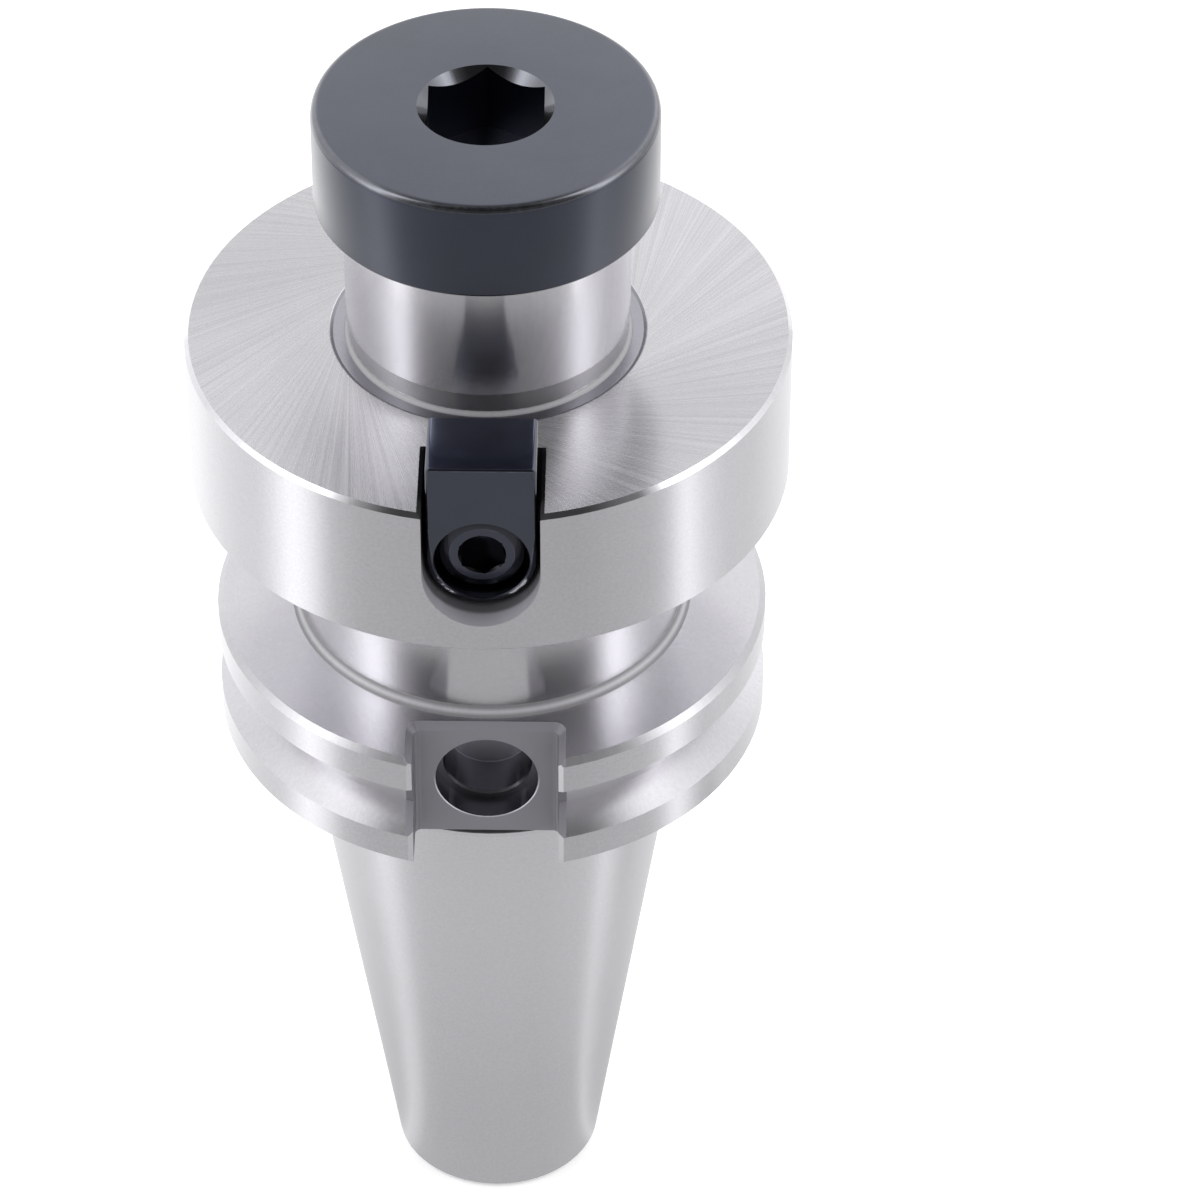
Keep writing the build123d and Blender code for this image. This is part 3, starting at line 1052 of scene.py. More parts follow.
def cut(worker: bpy.types.Object, cutters: Sequence[bpy.types.Mesh], name: str) -> bpy.types.Object:
    """Cuts meshes out of an object and makes it a plain mesh piece.

    Args:
        worker: The object to cut.
        cutters: What to cut away.
        name: The new piece's name.

    Returns:
        The piece.
    """
    tools = []
    for index, mesh in enumerate(cutters):
        tool = place(f"cutter_{index}", mesh)
        modifier = worker.modifiers.new(f"cut_{index}", "BOOLEAN")
        modifier.operation = "DIFFERENCE"
        modifier.solver = "EXACT"
        modifier.object = tool
        tools.append(tool)
    piece = settled(worker, name)
    for tool in tools:
        bpy.data.objects.remove(tool)
    return piece


def socket_cutters(
    across_flats: float, turn: float, floor: float, top: float, mouth: float
) -> list[bpy.types.Mesh]:
    """What a hex socket with a countersunk mouth takes away, round Z.

    Args:
        across_flats: Width of the hex.
        turn: Angle of one corner.
        floor: Height of the socket's floor.
        top: Height of the face that it opens in.
        mouth: Radius of the countersink at that face.

    Returns:
        The cone and the hex.
    """
    corner = across_flats / math.sqrt(3)
    spare = 1.0 * MM
    prism = ((0.0, floor, 0.0), (corner, floor, 0.0), (corner, top + spare, 0.0), (0.0, top + spare, 0.0))
    tip = top - mouth
    cone = ((0.0, tip, 0.0), (mouth + spare, top + spare, 0.0), (0.0, top + spare, 0.0))
    return [turned("countersink_cutter", cone, 128), turned("hex_cutter", prism, 6, turn)]


def finished(
    piece: bpy.types.Object, body: Body, slot: Slot, material: bpy.types.Material, *replaced: str
) -> None:
    """Gives a new piece its finish, its body and what it stands for.

    Args:
        piece: The piece, a plain mesh.
        body: The body that it rides on.
        slot: The record's slot of its finish; not used.
        material: The finish.
        replaced: The nodes that it replaces.
    """
    piece.data.materials.clear()
    piece.data.materials.append(material)
    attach(piece, body.value)
    if replaced:
        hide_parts(*replaced)
    LOG.info("%s: %s, %d faces", piece.name, material.name, len(piece.data.polygons))


def dress(node: str, material: bpy.types.Material) -> None:
    """Gives a carried-over node its finish in every slot.

    Args:
        node: The node's name.
        material: Its finish.
    """
    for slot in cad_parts[node].material_slots:
        slot.material = material
    LOG.info("%s: %s", node, material.name)


@dataclass(frozen=True)
class ThreadSize:
    """Sizes of a 60 degree thread: the ridge of the screw and the one in its bore, wound into each other."""

    pitch: float = THREAD_PITCH
    low: float = 51.2 * MM
    major_radius: float = 7.9375 * MM
    core_radius: float = 6.62 * MM
    bore_crest_radius: float = 6.95 * MM
    bore_root_radius: float = 8.02 * MM
    side_gap: float = 0.06 * MM
    sink: float = 0.07 * MM
    fade_turns: float = 0.6
    points_per_turn: int = 60

    def screw_width(self, radius: float) -> float:
        """Width of the screw's ridge at a radius."""
        return self.pitch / 8 + 2 * (self.major_radius - radius) * math.tan(math.radians(30))

    def bore_width(self, radius: float) -> float:
        """Width of the bore's ridge at a radius."""
        return self.pitch - self.screw_width(radius) - 2 * self.side_gap


class NodeMaker:
    """Geometry Nodes trees for threads and for the pair of screws, and what runs them."""

    RIDGE_ROWS = 5
    MERGE_DISTANCE = 1e-6

    def __init__(self) -> None:
        """Builds the trees."""
        self.thread = self._thread()
        self.pair = self._pair()

    def _close(self, graph: Graph, geometry: Socket, finish: Socket, end: Node) -> None:
        """Ends a tree with Realize Instances and Set Material.

        Args:
            graph: The tree's graph.
            geometry: What the tree has made.
            finish: Its material.
            end: The tree's output node.
        """
        realize = graph.fill(graph.add("GeometryNodeRealizeInstances"), Geometry=geometry)
        painted = graph.add("GeometryNodeSetMaterial")
        graph.fill(painted, Geometry=realize.outputs["Geometry"], Material=finish)
        graph.fill(end, Geometry=painted.outputs["Geometry"])

    def _thread(self) -> Tree:
        """A right-hand thread's ridge, wound from a flat grid and closed along its root.

        Returns:
            The group's tree.
        """
        graph, given, end = new_group(
            "thread_ridge",
            "GeometryNodeTree",
            {
                "Geometry": GEOMETRY,
                "Turns": FLOAT,
                "Pitch": FLOAT,
                "Start Height": FLOAT,
                "Root Radius": FLOAT,
                "Crest Radius": FLOAT,
                "Root Width": FLOAT,
                "Crest Width": FLOAT,
                "Fade Turns": FLOAT,
                "Points": "NodeSocketInt",
                "Finish": MATERIAL,
            },
            {"Geometry": GEOMETRY},
        )
        grid = graph.add("GeometryNodeMeshGrid")
        graph.fill(grid, Size_X=1.0, Size_Y=1.0, Vertices_X=given["Points"], Vertices_Y=self.RIDGE_ROWS)
        x, y, _ = graph.separate(graph.add("GeometryNodeInputPosition").outputs[0])
        share = graph.math("ADD", x, 0.5)
        last = self.RIDGE_ROWS - 1.0
        row = graph.math("ROUND", graph.math("MULTIPLY_ADD", y, last, last / 2))
        crest = graph.between(row, 0.5, 2.5)
        upper = graph.between(row, 1.5, 3.5)
        turns = graph.math("MULTIPLY", share, given["Turns"])
        angle = graph.math("MULTIPLY", turns, 2 * math.pi)
        to_end = graph.math("MINIMUM", turns, graph.math("SUBTRACT", given["Turns"], turns))
        full = graph.math("DIVIDE", to_end, given["Fade Turns"], clamp=True)
        radius = graph.blend(graph.product(crest, full), given["Root Radius"], given["Crest Radius"])
        width = graph.blend(crest, given["Root Width"], given["Crest Width"])
        aside = graph.math("MULTIPLY", width, graph.math("SUBTRACT", upper, 0.5))
        climb = graph.math("MULTIPLY_ADD", turns, given["Pitch"], given["Start Height"])
        wound_place = graph.combine(
            graph.product(radius, graph.math("COSINE", angle)),
            graph.product(radius, graph.math("SINE", angle)),
            graph.math("ADD", climb, aside),
        )
        wound = graph.add("GeometryNodeSetPosition")
        graph.fill(wound, Geometry=grid.outputs["Mesh"], Position=wound_place)
        merged = graph.add("GeometryNodeMergeByDistance")
        graph.fill(merged, Geometry=wound.outputs["Geometry"], Distance=self.MERGE_DISTANCE)
        self._close(graph, merged.outputs["Geometry"], given["Finish"], end)
        return graph.tree

    def _pair(self) -> Tree:
        """One piece in front of the axis and one behind it, both facing away from it.

        Returns:
            The group's tree.
        """
        graph, given, end = new_group(
            "facing_pair",
            "GeometryNodeTree",
            {"Geometry": GEOMETRY, "Distance": FLOAT, "Height": FLOAT, "Finish": MATERIAL},
            {"Geometry": GEOMETRY},
        )
        back = graph.math("MULTIPLY", given["Distance"], -1.0)
        across = graph.math("MULTIPLY", given["Distance"], 2.0)
        line = graph.fill(
            graph.add("GeometryNodeMeshLine"),
            Count=2,
            Start_Location=graph.combine(0.0, back, given["Height"]),
            Offset=graph.combine(0.0, across, 0.0),
        )
        half_turns = graph.math("MULTIPLY", graph.add("GeometryNodeInputIndex").outputs[0], math.pi)
        upright = graph.combine(math.pi / 2, 0.0, half_turns)
        turn = graph.fill(graph.add("FunctionNodeEulerToRotation"), upright)
        placed = graph.fill(
            graph.add("GeometryNodeInstanceOnPoints"),
            Points=line.outputs["Mesh"],
            Instance=given["Geometry"],
            Rotation=turn.outputs[0],
        )
        self._close(graph, placed.outputs["Instances"], given["Finish"], end)
        return graph.tree

    def run(self, worker: bpy.types.Object, tree: Tree, **values: object) -> None:
        """Puts a tree on an object.

        Args:
            worker: The object.
            tree: The tree.
            values: Its inputs, with spaces in their names written as underscores.
        """
        modifier = worker.modifiers.new(tree.name, "NODES")
        modifier.node_group = tree
        names = {item.name: item.identifier for item in tree.interface.items_tree if item.in_out == "INPUT"}
        for name, value in values.items():
            modifier[names[name.replace("_", " ")]] = value

    def wound(
        self, name: str, thread: ThreadSize, turns: float, low: float, root: Span, crest: Span
    ) -> bpy.types.Object:
        """Winds a thread's ridge.

        Args:
            name: The new piece's name.
            thread: The thread's sizes.
            turns: How many times it goes round.
            low: Height of its start.
            root: Radius and width of its root.
            crest: Radius and width of its crest.

        Returns:
            The piece.
        """
        worker = place(f"{name}_blank", bpy.data.meshes.new(f"{name}_blank"))
        self.run(
            worker,
            self.thread,
            Turns=turns,
            Pitch=thread.pitch,
            Start_Height=low,
            Root_Radius=root[0],
            Crest_Radius=crest[0],
            Root_Width=root[1],
            Crest_Width=crest[1],
            Fade_Turns=thread.fade_turns,
            Points=round(turns * thread.points_per_turn),
        )
        return settled(worker, name)


@dataclass
class LockScrew:
    """The wide-headed lock screw with its hex socket and cut thread."""

    maker: NodeMaker
    thread: ThreadSize
    head_radius: float = 19.05 * MM
    head_low: float = PILOT_END_Z
    head_high: float = 87.4 * MM
    rim_round: float = 1.0 * MM
    back_round: float = 0.4 * MM
    neck_radius: float = 6.8 * MM
    neck_length: float = 2.5 * MM
    shank_low: float = 50.25 * MM
    end_chamfer: float = 1.1 * MM
    hex_across: float = 12.7 * MM
    hex_turn: float = math.radians(30)
    hex_depth: float = 8.0 * MM
    mouth_radius: float = 7.5 * MM
    thread_turns: float = 9.4
    segments: int = 192
    blank_turn: float = math.radians(0.7)

    def _screw(self) -> bpy.types.Object:
        """Head, hex socket and core of the shank.

        Returns:
            The piece.
        """
        core = self.thread.core_radius
        shoulder = self.head_low - self.neck_length
        profile = rounded_profile(
            (
                (0.0, self.shank_low, 0.0),
                (core - self.end_chamfer, self.shank_low, 0.0),
                (core, self.shank_low + self.end_chamfer, 0.0),
                (core, shoulder, 0.0),
                (self.neck_radius, shoulder, 0.0),
                (self.neck_radius, self.head_low, 0.0),
                (self.head_radius, self.head_low, self.back_round),
                (self.head_radius, self.head_high, self.rim_round),
                (0.0, self.head_high, 0.0),
            )
        )
        blank = turned("lock_screw_blank", profile, self.segments, self.blank_turn)
        floor = self.head_high - self.hex_depth
        cutters = socket_cutters(self.hex_across, self.hex_turn, floor, self.head_high, self.mouth_radius)
        return cut(place("lock_screw_blank", blank), cutters, "lock_screw_turned")

    def _ridge(self) -> bpy.types.Object:
        """The thread's ridge on the shank.

        Returns:
            The piece.
        """
        thread = self.thread
        root, crest = thread.core_radius - thread.sink, thread.major_radius
        return self.maker.wound(
            "lock_screw_thread",
            thread,
            self.thread_turns,
            thread.low,
            (root, thread.screw_width(root)),
            (crest, thread.screw_width(crest)),
        )

    def build(self, black: bpy.types.Material) -> None:
        """Makes the screw and its thread.

        Args:
            black: The finish.
        """
        finished(self._screw(), Body.LOCK_SCREW, Slot.BLACK_STEEL, black, "lock_screw")
        finished(self._ridge(), Body.LOCK_SCREW, Slot.BLACK_STEEL, black)


@dataclass
class ArborBody:
    """The arbor itself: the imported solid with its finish, and the thread cut in the pilot's bore."""

    maker: NodeMaker
    thread: ThreadSize
    bore_thread_low: float = 45.2 * MM
    bore_thread_turns: float = 12.4

    def build(self, steel: bpy.types.Material) -> None:
        """Dresses the body and winds the bore's thread between the turns of the screw's one.

        Args:
            steel: The finish.
        """
        dress("arbor_body", steel)
        thread = self.thread
        root, crest = thread.bore_root_radius, thread.bore_crest_radius
        half_turns = round((self.bore_thread_low - thread.low) / thread.pitch - 0.5) + 0.5
        ridge = self.maker.wound(
            "pilot_bore_thread",
            thread,
            self.bore_thread_turns,
            thread.low + half_turns * thread.pitch,
            (root, thread.bore_width(root)),
            (crest, thread.bore_width(crest)),
        )
        finished(ridge, Body.ARBOR, Slot.GROUND_STEEL, steel)


@dataclass
class DriveKeys:
    """The two drive keys: bars with a half round foot, rounded edges and a counterbore."""

    half_width: float = 6.0 * MM
    axis_z: float = KEY_AXIS_Z
    top: float = 12.75 * MM
    top_round: float = 0.5 * MM
    inner: float = 21.5 * MM
    outer: float = 30.65 * MM
    counterbore_radius: float = 5.18 * MM
    counterbore_break: float = 0.12 * MM
    clearance_radius: float = 3.4 * MM
    screw_seat: float = KEY_SCREW_SEAT
    foot_round: float = 0.68 * MM
    top_edge_round: float = 0.26 * MM
    round_change: Span = (-1.0 * MM, 4.0 * MM)
    inner_break: float = 0.2 * MM
    rub_width: float = 0.1 * MM
    least_flat: float = 0.01 * MM
    # Rub along the outer edge, and painted glint arcs at both sides of the foot
    rub_least: float = 0.4
    glint_most: float = 0.6
    glint_angle: float = 42.0
    glint_spread: float = 9.0
    foot_steps: int = 96
    side_steps: int = 16
    corner_steps: int = 8
    top_steps: int = 20
    round_steps: int = 5

    def _outline(self) -> Outline:
        """Points of the outline about the key's axis.

        Returns:
            The points, each with the direction that it faces.
        """
        half, corner = self.half_width, self.top_round
        straight = self.top - corner
        points = []
        for index in range(self.foot_steps):
            angle = math.pi * (1 + index / self.foot_steps)
            facing = Vector((math.cos(angle), math.sin(angle)))
            points.append((facing * half, facing))
        for index in range(self.side_steps):
            points.append((Vector((half, straight * index / self.side_steps)), Vector((1.0, 0.0))))
        for start, middle in ((0, half - corner), (1, corner - half)):
            centre = Vector((middle, straight))
            for index in range(self.corner_steps + 1):
                angle = math.pi / 2 * (start + index / self.corner_steps)
                facing = Vector((math.cos(angle), math.sin(angle)))
                points.append((centre + facing * corner, facing))
            for index in range(1, self.top_steps if start == 0 else 1):
                across = middle * (1 - 2 * index / self.top_steps)
                points.append((Vector((across, self.top)), Vector((0.0, 1.0))))
        for index in range(1, self.side_steps):
            height = straight * (1 - index / self.side_steps)
            points.append((Vector((-half, height)), Vector((-1.0, 0.0))))
        return points

    def _front_round(self, height: float) -> float:
        """Rounding of the outer edge, larger round the foot than along the top.

        Args:
            height: Height over the key's axis.

        Returns:
            The rounding.
        """
        low, high = self.round_change
        share = min(max((height - low) / (high - low), 0.0), 1.0)
        share = share * share * (3 - 2 * share)
        return self.foot_round + share * (self.top_edge_round - self.foot_round)

    def _rubbed_and_glint(self, point: Vector) -> float:
        """How much of the outer edge is rubbed, with painted glints most at both sides of the foot."""
        aside = abs(math.degrees(math.atan2(-point.y, abs(point.x))) - self.glint_angle)
        return self.rub_least + self.glint_most * max(0.0, min(1.0, 2.0 - aside / self.glint_spread))

    def _stood(self, at: Vector, side: Side, away: float) -> Vector:
        """A point about the key's axis, at its distance from the arbor's axis."""
        return Vector((at.x, side.value * away, self.axis_z + at.y))

    def _ring(
        self, outline: Outline, side: Side, distances: Sequence[float], insets: Sequence[float]
    ) -> list[Vector]:
        """The outline drawn in.

        Args:
            outline: The key's outline.
            side: The side of the key.
            distances: Each point's distance from the arbor's axis.
            insets: How far each point is drawn in.

        Returns:
            The ring's points.
        """
        return [
            self._stood(point - facing * inset, side, away)
            for (point, facing), away, inset in zip(outline, distances, insets)
        ]

    def _circle(self, outline: Outline, side: Side, distance: float, radius: float) -> list[Vector]:
        """A circle about the key's axis, with its points in line with the outline's."""
        return [self._stood(point.normalized() * radius, side, distance) for point, _ in outline]

    def _key(self, side: Side, name: str) -> bpy.types.Object:
        """One key as a plain mesh.

        Args:
            side: The side of the key.
            name: The node that it stands for.

        Returns:
            The piece.
        """
        outline = self._outline()
        count = len(outline)
        rounds = [self._front_round(point.y) for point, _ in outline]
        rubbed = [self._rubbed_and_glint(point) for point, _ in outline]
        rings = [
            self._circle(outline, side, self.inner, self.clearance_radius),
            self._ring(outline, side, [self.inner] * count, [self.inner_break] * count),
            self._ring(outline, side, [self.inner + self.inner_break] * count, [0.0] * count),
        ]
        edges: list[Union[float, Sequence[float]]] = [0.0] * len(rings)
        for step in range(self.round_steps + 1):
            angle = math.pi / 2 * step / self.round_steps
            distances = [self.outer - size * (1 - math.sin(angle)) for size in rounds]
            insets = [size * (1 - math.cos(angle)) for size in rounds]
            rings.append(self._ring(outline, side, distances, insets))
            # The edge attribute carries rub and painted glints
            edges.append([math.sin(angle) ** 4 * share for share in rubbed])
        widest = self.half_width - self.counterbore_radius - self.counterbore_break - self.least_flat
        insets = [min(size + self.rub_width, widest) for size in rounds]
        rings.append(self._ring(outline, side, [self.outer] * count, insets))
        rings += [
            self._circle(outline, side, distance, radius)
            for distance, radius in (
                (self.outer, self.counterbore_radius + self.counterbore_break),
                (self.outer - self.counterbore_break, self.counterbore_radius),
                (self.screw_seat, self.counterbore_radius),
                (self.screw_seat, self.clearance_radius),
            )
        ]
        edges += [0.0] * (len(rings) - len(edges))
        return settled(place(name, skin(name, rings, edges, ring_shaped=True)), f"{name}_bar")

    def build(self, blued: bpy.types.Material) -> None:
        """Makes both keys.

        Args:
            blued: The finish.
        """
        for side, node in ((Side.FRONT, "drive_key_front"), (Side.REAR, "drive_key_rear")):
            finished(self._key(side, node), Body.ARBOR, Slot.KEY_STEEL, blued, node)


@dataclass
class KeyScrews:
    """The socket head screws of the keys, one modelled along Z and placed twice."""

    maker: NodeMaker
    head_radius: float = 4.7625 * MM
    head_height: float = 6.35 * MM
    bevel_width: float = 1.2 * MM
    bevel_height: float = 0.4 * MM
    side_round: float = 0.35 * MM
    face_round: float = 0.5 * MM
    shank_radius: float = 3.175 * MM
    shank_length: float = 9.525 * MM
    end_chamfer: float = 0.6 * MM
    hex_across: float = 4.76 * MM
    hex_turn: float = math.radians(36)
    hex_depth: float = 3.2 * MM
    mouth_radius: float = 2.63 * MM
    seat: float = KEY_SCREW_SEAT
    axis_z: float = KEY_AXIS_Z
    segments: int = 128
    blank_turn: float = math.radians(1.1)

    def build(self, gloss: bpy.types.Material) -> None:
        """Makes the pair of screws.

        Args:
            gloss: The finish.
        """
        flat = self.head_radius - self.bevel_width
        profile = rounded_profile(
            (
                (0.0, -self.shank_length, 0.0),
                (self.shank_radius - self.end_chamfer, -self.shank_length, 0.0),
                (self.shank_radius, self.end_chamfer - self.shank_length, 0.0),
                (self.shank_radius, 0.0, 0.0),
                (self.head_radius, 0.0, 0.0),
                (self.head_radius, self.head_height - self.bevel_height, self.side_round),
                (flat, self.head_height, self.face_round),
                (0.0, self.head_height, 0.0),
            )
        )
        blank = turned("key_screw_blank", profile, self.segments, self.blank_turn)
        floor = self.head_height - self.hex_depth
        cutters = socket_cutters(self.hex_across, self.hex_turn, floor, self.head_height, self.mouth_radius)
        one = cut(place("key_screw_blank", blank), cutters, "key_screw_single")
        self.maker.run(one, self.maker.pair, Distance=self.seat, Height=self.axis_z, Finish=gloss)
        finished(settled(one, "key_screws_pair"), Body.ARBOR, Slot.SCREW_STEEL, gloss, "key_screws")


@dataclass(frozen=True)
class PhotoCamera:
    """The camera that sees the arbor as the photograph does."""

    place: Triple = (17.86 * MM, -511.48 * MM, 453.33 * MM)
    turn_left: float = math.radians(0.596)
    tilt_down: float = math.radians(40.46)
    roll: float = math.radians(-0.172)
    lens_mm: float = 173.72
    sensor_mm: float = 36.0
    nearest: float = 0.01

    @property
    def azimuth(self) -> float:
        """The direction of the camera from the axis, from -Y towards +X."""
        return math.atan2(self.place[0], -self.place[1])

    def build(self) -> None:
        """Places the camera and makes it the scene's own."""
        pan = -self.turn_left
        ahead = Vector(
            (
                math.sin(pan) * math.cos(self.tilt_down),
                math.cos(pan) * math.cos(self.tilt_down),
                -math.sin(self.tilt_down),
            )
        )
        level = Vector((math.cos(pan), -math.sin(pan), 0.0))
        down = ahead.cross(level)
        right = math.cos(self.roll) * level + math.sin(self.roll) * down
        below = math.cos(self.roll) * down - math.sin(self.roll) * level
        data = bpy.data.cameras.new("photo_camera")
        data.lens = self.lens_mm
        data.sensor_width = self.sensor_mm
        data.clip_start = self.nearest
        camera = bpy.data.objects.new("photo_camera", data)
        axes = Matrix((right, -below, -ahead)).transposed()
        camera.matrix_world = Matrix.Translation(self.place) @ axes.to_4x4()
        bpy.context.scene.collection.objects.link(camera)
        bpy.context.scene.camera = camera


@dataclass
class Studio:
    """White floor and surroundings: bright at both sides, dim above and behind the camera."""

    camera: PhotoCamera
    floor_z: float
    floor_radius: float = 4.0
    lamp_distance: float = 0.9
    lamp_side: float = 0.9
    lamp_power: float = 5.5
    ceiling: float = 0.24
    camera_side_dark: float = 0.65
    low_to_high: Span = (0.05, 0.3)
    to_ceiling: Span = (0.78, 0.97)
    camera_side_height: Span = (0.62, 0.7)
    camera_side_width: Span = (0.1, 0.16)
    brightest: float = 3.5
    # A painted dim patch on the floor beside the arbor, as steel mirrors it
    dim_patch: Span = (0.085, 0.0)
    patch_stretch: Triple = (0.5, 1.0, 0.0)
    patch_fade: Triple = (0.004, 0.024, 0.5)
    # A painted shadow round the arbor's base, on the floor as steel mirrors it
    contact_shadow_fade: Span = (0.04, 0.12)
    contact_shadow_share: float = 0.3
    contact_shadow_level: tuple[float, float, float, float] = (0.02, 0.06, 0.42, 0.52)
    paper_white: float = 0.8
    paper_glow: float = 0.3
    even_light: float = 0.75
    floor_segments: int = 96

    LOW = (
        (-180, 1.12),
        (-135, 1.3),
        (-105, 0.96),
        (-90, 0.9),
        (-84, 1.05),
        (-74, 1.55),
        (-66, 1.25),
        (-58, 0.7),
        (-47, 0.56),
        (-20, 0.5),
        (30, 0.5),
        (46, 0.57),
        (58, 0.62),
        (64, 0.76),
        (72, 1.42),
        (81, 1.0),
        (91, 0.8),
        (108, 0.8),
        (130, 1.0),
        (150, 1.12),
        (180, 1.12),
    )
    HIGH = (
        (-180, 1.18),
        (-150, 1.42),
        (-118, 1.15),
        (-100, 1.4),
        (-86, 2.2),
        (-76, 3.2),
        (-68, 2.6),
        (-62, 1.1),
        (-55, 0.45),
        (-42, 0.18),
        (0, 0.12),
        (42, 0.16),
        (60, 0.22),
        (66, 0.9),
        (72, 2.6),
        (80, 3.2),
        (88, 2.2),
        (100, 1.35),
        (118, 1.1),
        (150, 1.8),
        (180, 1.18),
    )

    def _ring(self, graph: Graph, direction: Value) -> Value:
        """Brightness of the surroundings, as polished steel sees them.

        Args:
            graph: The tree that the nodes go into.
            direction: Where the steel looks.

        Returns:
            The brightness.
        """
        x, y, z = graph.separate(graph.vector("NORMALIZE", direction))
        angle = graph.math("ARCTAN2", x, graph.math("MULTIPLY", y, -1.0))
        turn = graph.math("DIVIDE", graph.math("SUBTRACT", angle, self.camera.azimuth), 2 * math.pi)
        share = graph.math("FRACT", graph.math("ADD", turn, 0.5))
        low = graph.ramp(share, self.LOW, self.brightest)
        high = graph.ramp(share, self.HIGH, self.brightest)
        level = graph.blend(graph.step(z, *self.low_to_high), low, high)
        level = graph.blend(graph.step(z, *self.to_ceiling), level, self.ceiling)
        aside = graph.math("ABSOLUTE", graph.math("SUBTRACT", share, 0.5))
        dark = graph.product(
            graph.step(z, *self.camera_side_height),
            graph.step(aside, *self.camera_side_width, self.camera_side_dark, 0.0),
        )
        return graph.math("MULTIPLY", level, graph.math("SUBTRACT", 1.0, dark))

    def _paper(self) -> bpy.types.Material:
        """White paper for the camera and for matt surfaces; for steel, a glowing ring of the surroundings'
        brightness with a painted shadow round the arbor and a painted dim patch beside it.

        Returns:
            The material.
        """
        material, graph = blank_material("white_floor")
        x, y, _ = graph.separate(graph.add("ShaderNodeTexCoord").outputs["Object"])
        flat = graph.combine(x, y, 0.0)
        out = graph.vector("LENGTH", flat)
        white = (self.paper_white, self.paper_white, self.paper_white, 1.0)
        paper = graph.fill(graph.add("ShaderNodeBsdfDiffuse"), Color=white)
        glow = graph.fill(graph.add("ShaderNodeEmission"), Strength=self.paper_glow)
        seen = graph.fill(graph.add("ShaderNodeAddShader"), paper.outputs[0], glow.outputs[0])

        # Painted dim patch beside the arbor
        aside = graph.vector("SUBTRACT", flat, graph.combine(*self.dim_patch, 0.0))
        aside = graph.vector("LENGTH", graph.vector("MULTIPLY", aside, self.patch_stretch))
        level = graph.math("MULTIPLY", self._ring(graph, flat), graph.step(aside, *self.patch_fade))
        # Painted shadow round the arbor's base
        near = graph.math("MULTIPLY_ADD", level, self.contact_shadow_share, graph.step(out, *self.contact_shadow_level))
        strength = graph.blend(graph.step(out, *self.contact_shadow_fade), near, level)
        mirrored = graph.fill(graph.add("ShaderNodeEmission"), Strength=strength)

        paths = graph.add("ShaderNodeLightPath").outputs
        plain = graph.math("MAXIMUM", paths["Is Camera Ray"], paths["Is Diffuse Ray"])
        mixed = graph.add("ShaderNodeMixShader")
        graph.fill(mixed, plain, mirrored.outputs[0], seen.outputs[0])
        graph.fill(graph.add("ShaderNodeOutputMaterial"), Surface=mixed.outputs[0])
        return material

    def _floor(self) -> None:
        """A round white floor under the arbor."""
        mesh = bpy.data.meshes.new("floor")
        made = bmesh.new()
        bmesh.ops.create_circle(
            made, cap_ends=True, segments=self.floor_segments, radius=self.floor_radius
        )
        bmesh.ops.translate(made, verts=made.verts, vec=(0.0, 0.0, self.floor_z))
        made.to_mesh(mesh)
        made.free()
        floor = place("floor", mesh)
        mesh.materials.append(self._paper())
        floor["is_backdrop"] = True

    def _world(self) -> None:
        """White for the camera, an even light for matt surfaces and the ring for steel."""
        world = bpy.data.worlds.new("studio")
        bpy.context.scene.world = world
        world.use_nodes = True
        world.node_tree.nodes.clear()
        graph = Graph(world.node_tree)
        level = self._ring(graph, graph.add("ShaderNodeTexCoord").outputs["Generated"])
        paths = graph.add("ShaderNodeLightPath").outputs
        plain = graph.math("MAXIMUM", paths["Is Camera Ray"], paths["Is Transmission Ray"])
        glossy = graph.blend(paths["Is Glossy Ray"], self.even_light, level)
        strength = graph.blend(plain, glossy, 1.0)
        background = graph.fill(graph.add("ShaderNodeBackground"), Strength=strength)
        graph.fill(graph.add("ShaderNodeOutputWorld"), Surface=background.outputs[0])

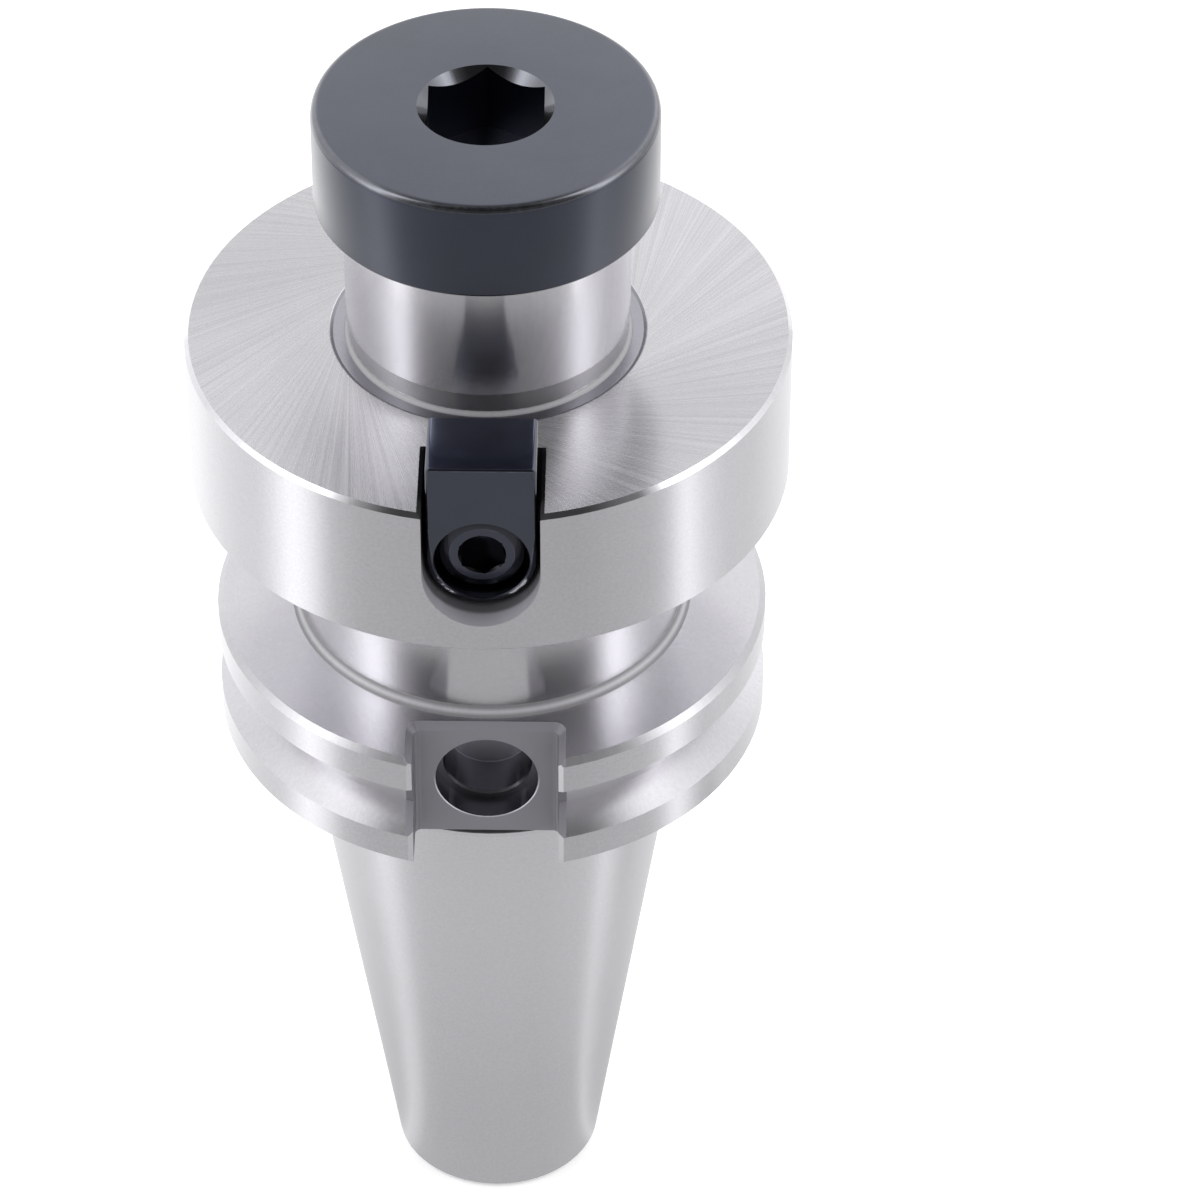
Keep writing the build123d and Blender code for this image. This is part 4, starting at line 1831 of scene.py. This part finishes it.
    def _lamps(self) -> None:
        """Two large soft lamps at the sides and one above."""
        for name, direction in (
            ("lamp_left", (-1.0, -0.25, 0.75)),
            ("lamp_right", (1.0, -0.15, 0.7)),
            ("lamp_above", (0.0, 0.35, 1.2)),
        ):
            data = bpy.data.lights.new(name, "AREA")
            data.shape = "SQUARE"
            data.size = self.lamp_side
            data.energy = self.lamp_power
            lamp = bpy.data.objects.new(name, data)
            at = Vector(direction).normalized() * self.lamp_distance
            lamp.location = at
            lamp.rotation_euler = at.to_track_quat("Z", "Y").to_euler()
            lamp.visible_glossy = False
            bpy.context.scene.collection.objects.link(lamp)

    def build(self) -> None:
        """Makes the floor, the surroundings, the lamps and the camera."""
        bpy.context.scene.view_settings.view_transform = "Standard"
        self._floor()
        self._world()
        self._lamps()
        self.camera.build()
        LOG.info("studio: floor, world, lamps and camera")


def main() -> None:
    """Builds the studio and every piece."""
    logging.basicConfig(level=logging.INFO, format="%(message)s")
    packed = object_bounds()
    effects = Effects()
    steel = GroundSteel("ground_steel", (0.7, 0.692, 0.722), 0.22, 0.85).material(effects)
    black = DarkSteel(
        "satin_black_oxide",
        (0.073, 0.081, 0.114),
        0.32,
        0.0,
        slope_shade_colour=(0.025, 0.031, 0.058),
        oil_roughness=0.25,
        wear_and_glint=0.1,
        # The rim's round and the socket's cone painted brighter as glints
        round_glint_share=1.0,
        oil_index=1.58,
    ).material(effects)
    blued = DarkSteel(
        "blued_key_steel",
        (0.19, 0.21, 0.31),
        0.24,
        0.0,
        slope_shade_colour=(0.055, 0.062, 0.092),
        flat_share=(0.93, 0.995),
        # Near-white edges of the keys: painted glints over some wear
        wear_and_glint=2.4,
        worn_and_glint_colour=(0.85, 0.85, 0.88),
    ).material(effects)
    gloss = DarkSteel(
        "gloss_black_oxide",
        (0.05, 0.055, 0.085),
        0.2,
        0.0,
        slope_shade_colour=(0.012, 0.013, 0.018),
        flat_along=1,
        flat_share=(0.93, 0.98),
        wear_and_glint=0.2,
    ).material(effects)

    maker = NodeMaker()
    thread = ThreadSize()
    ArborBody(maker, thread).build(steel)
    LockScrew(maker, thread).build(black)
    DriveKeys().build(blued)
    KeyScrews(maker).build(gloss)
    Studio(PhotoCamera(), floor_z=packed[0].z).build()


if __name__ == "__main__":
    main()
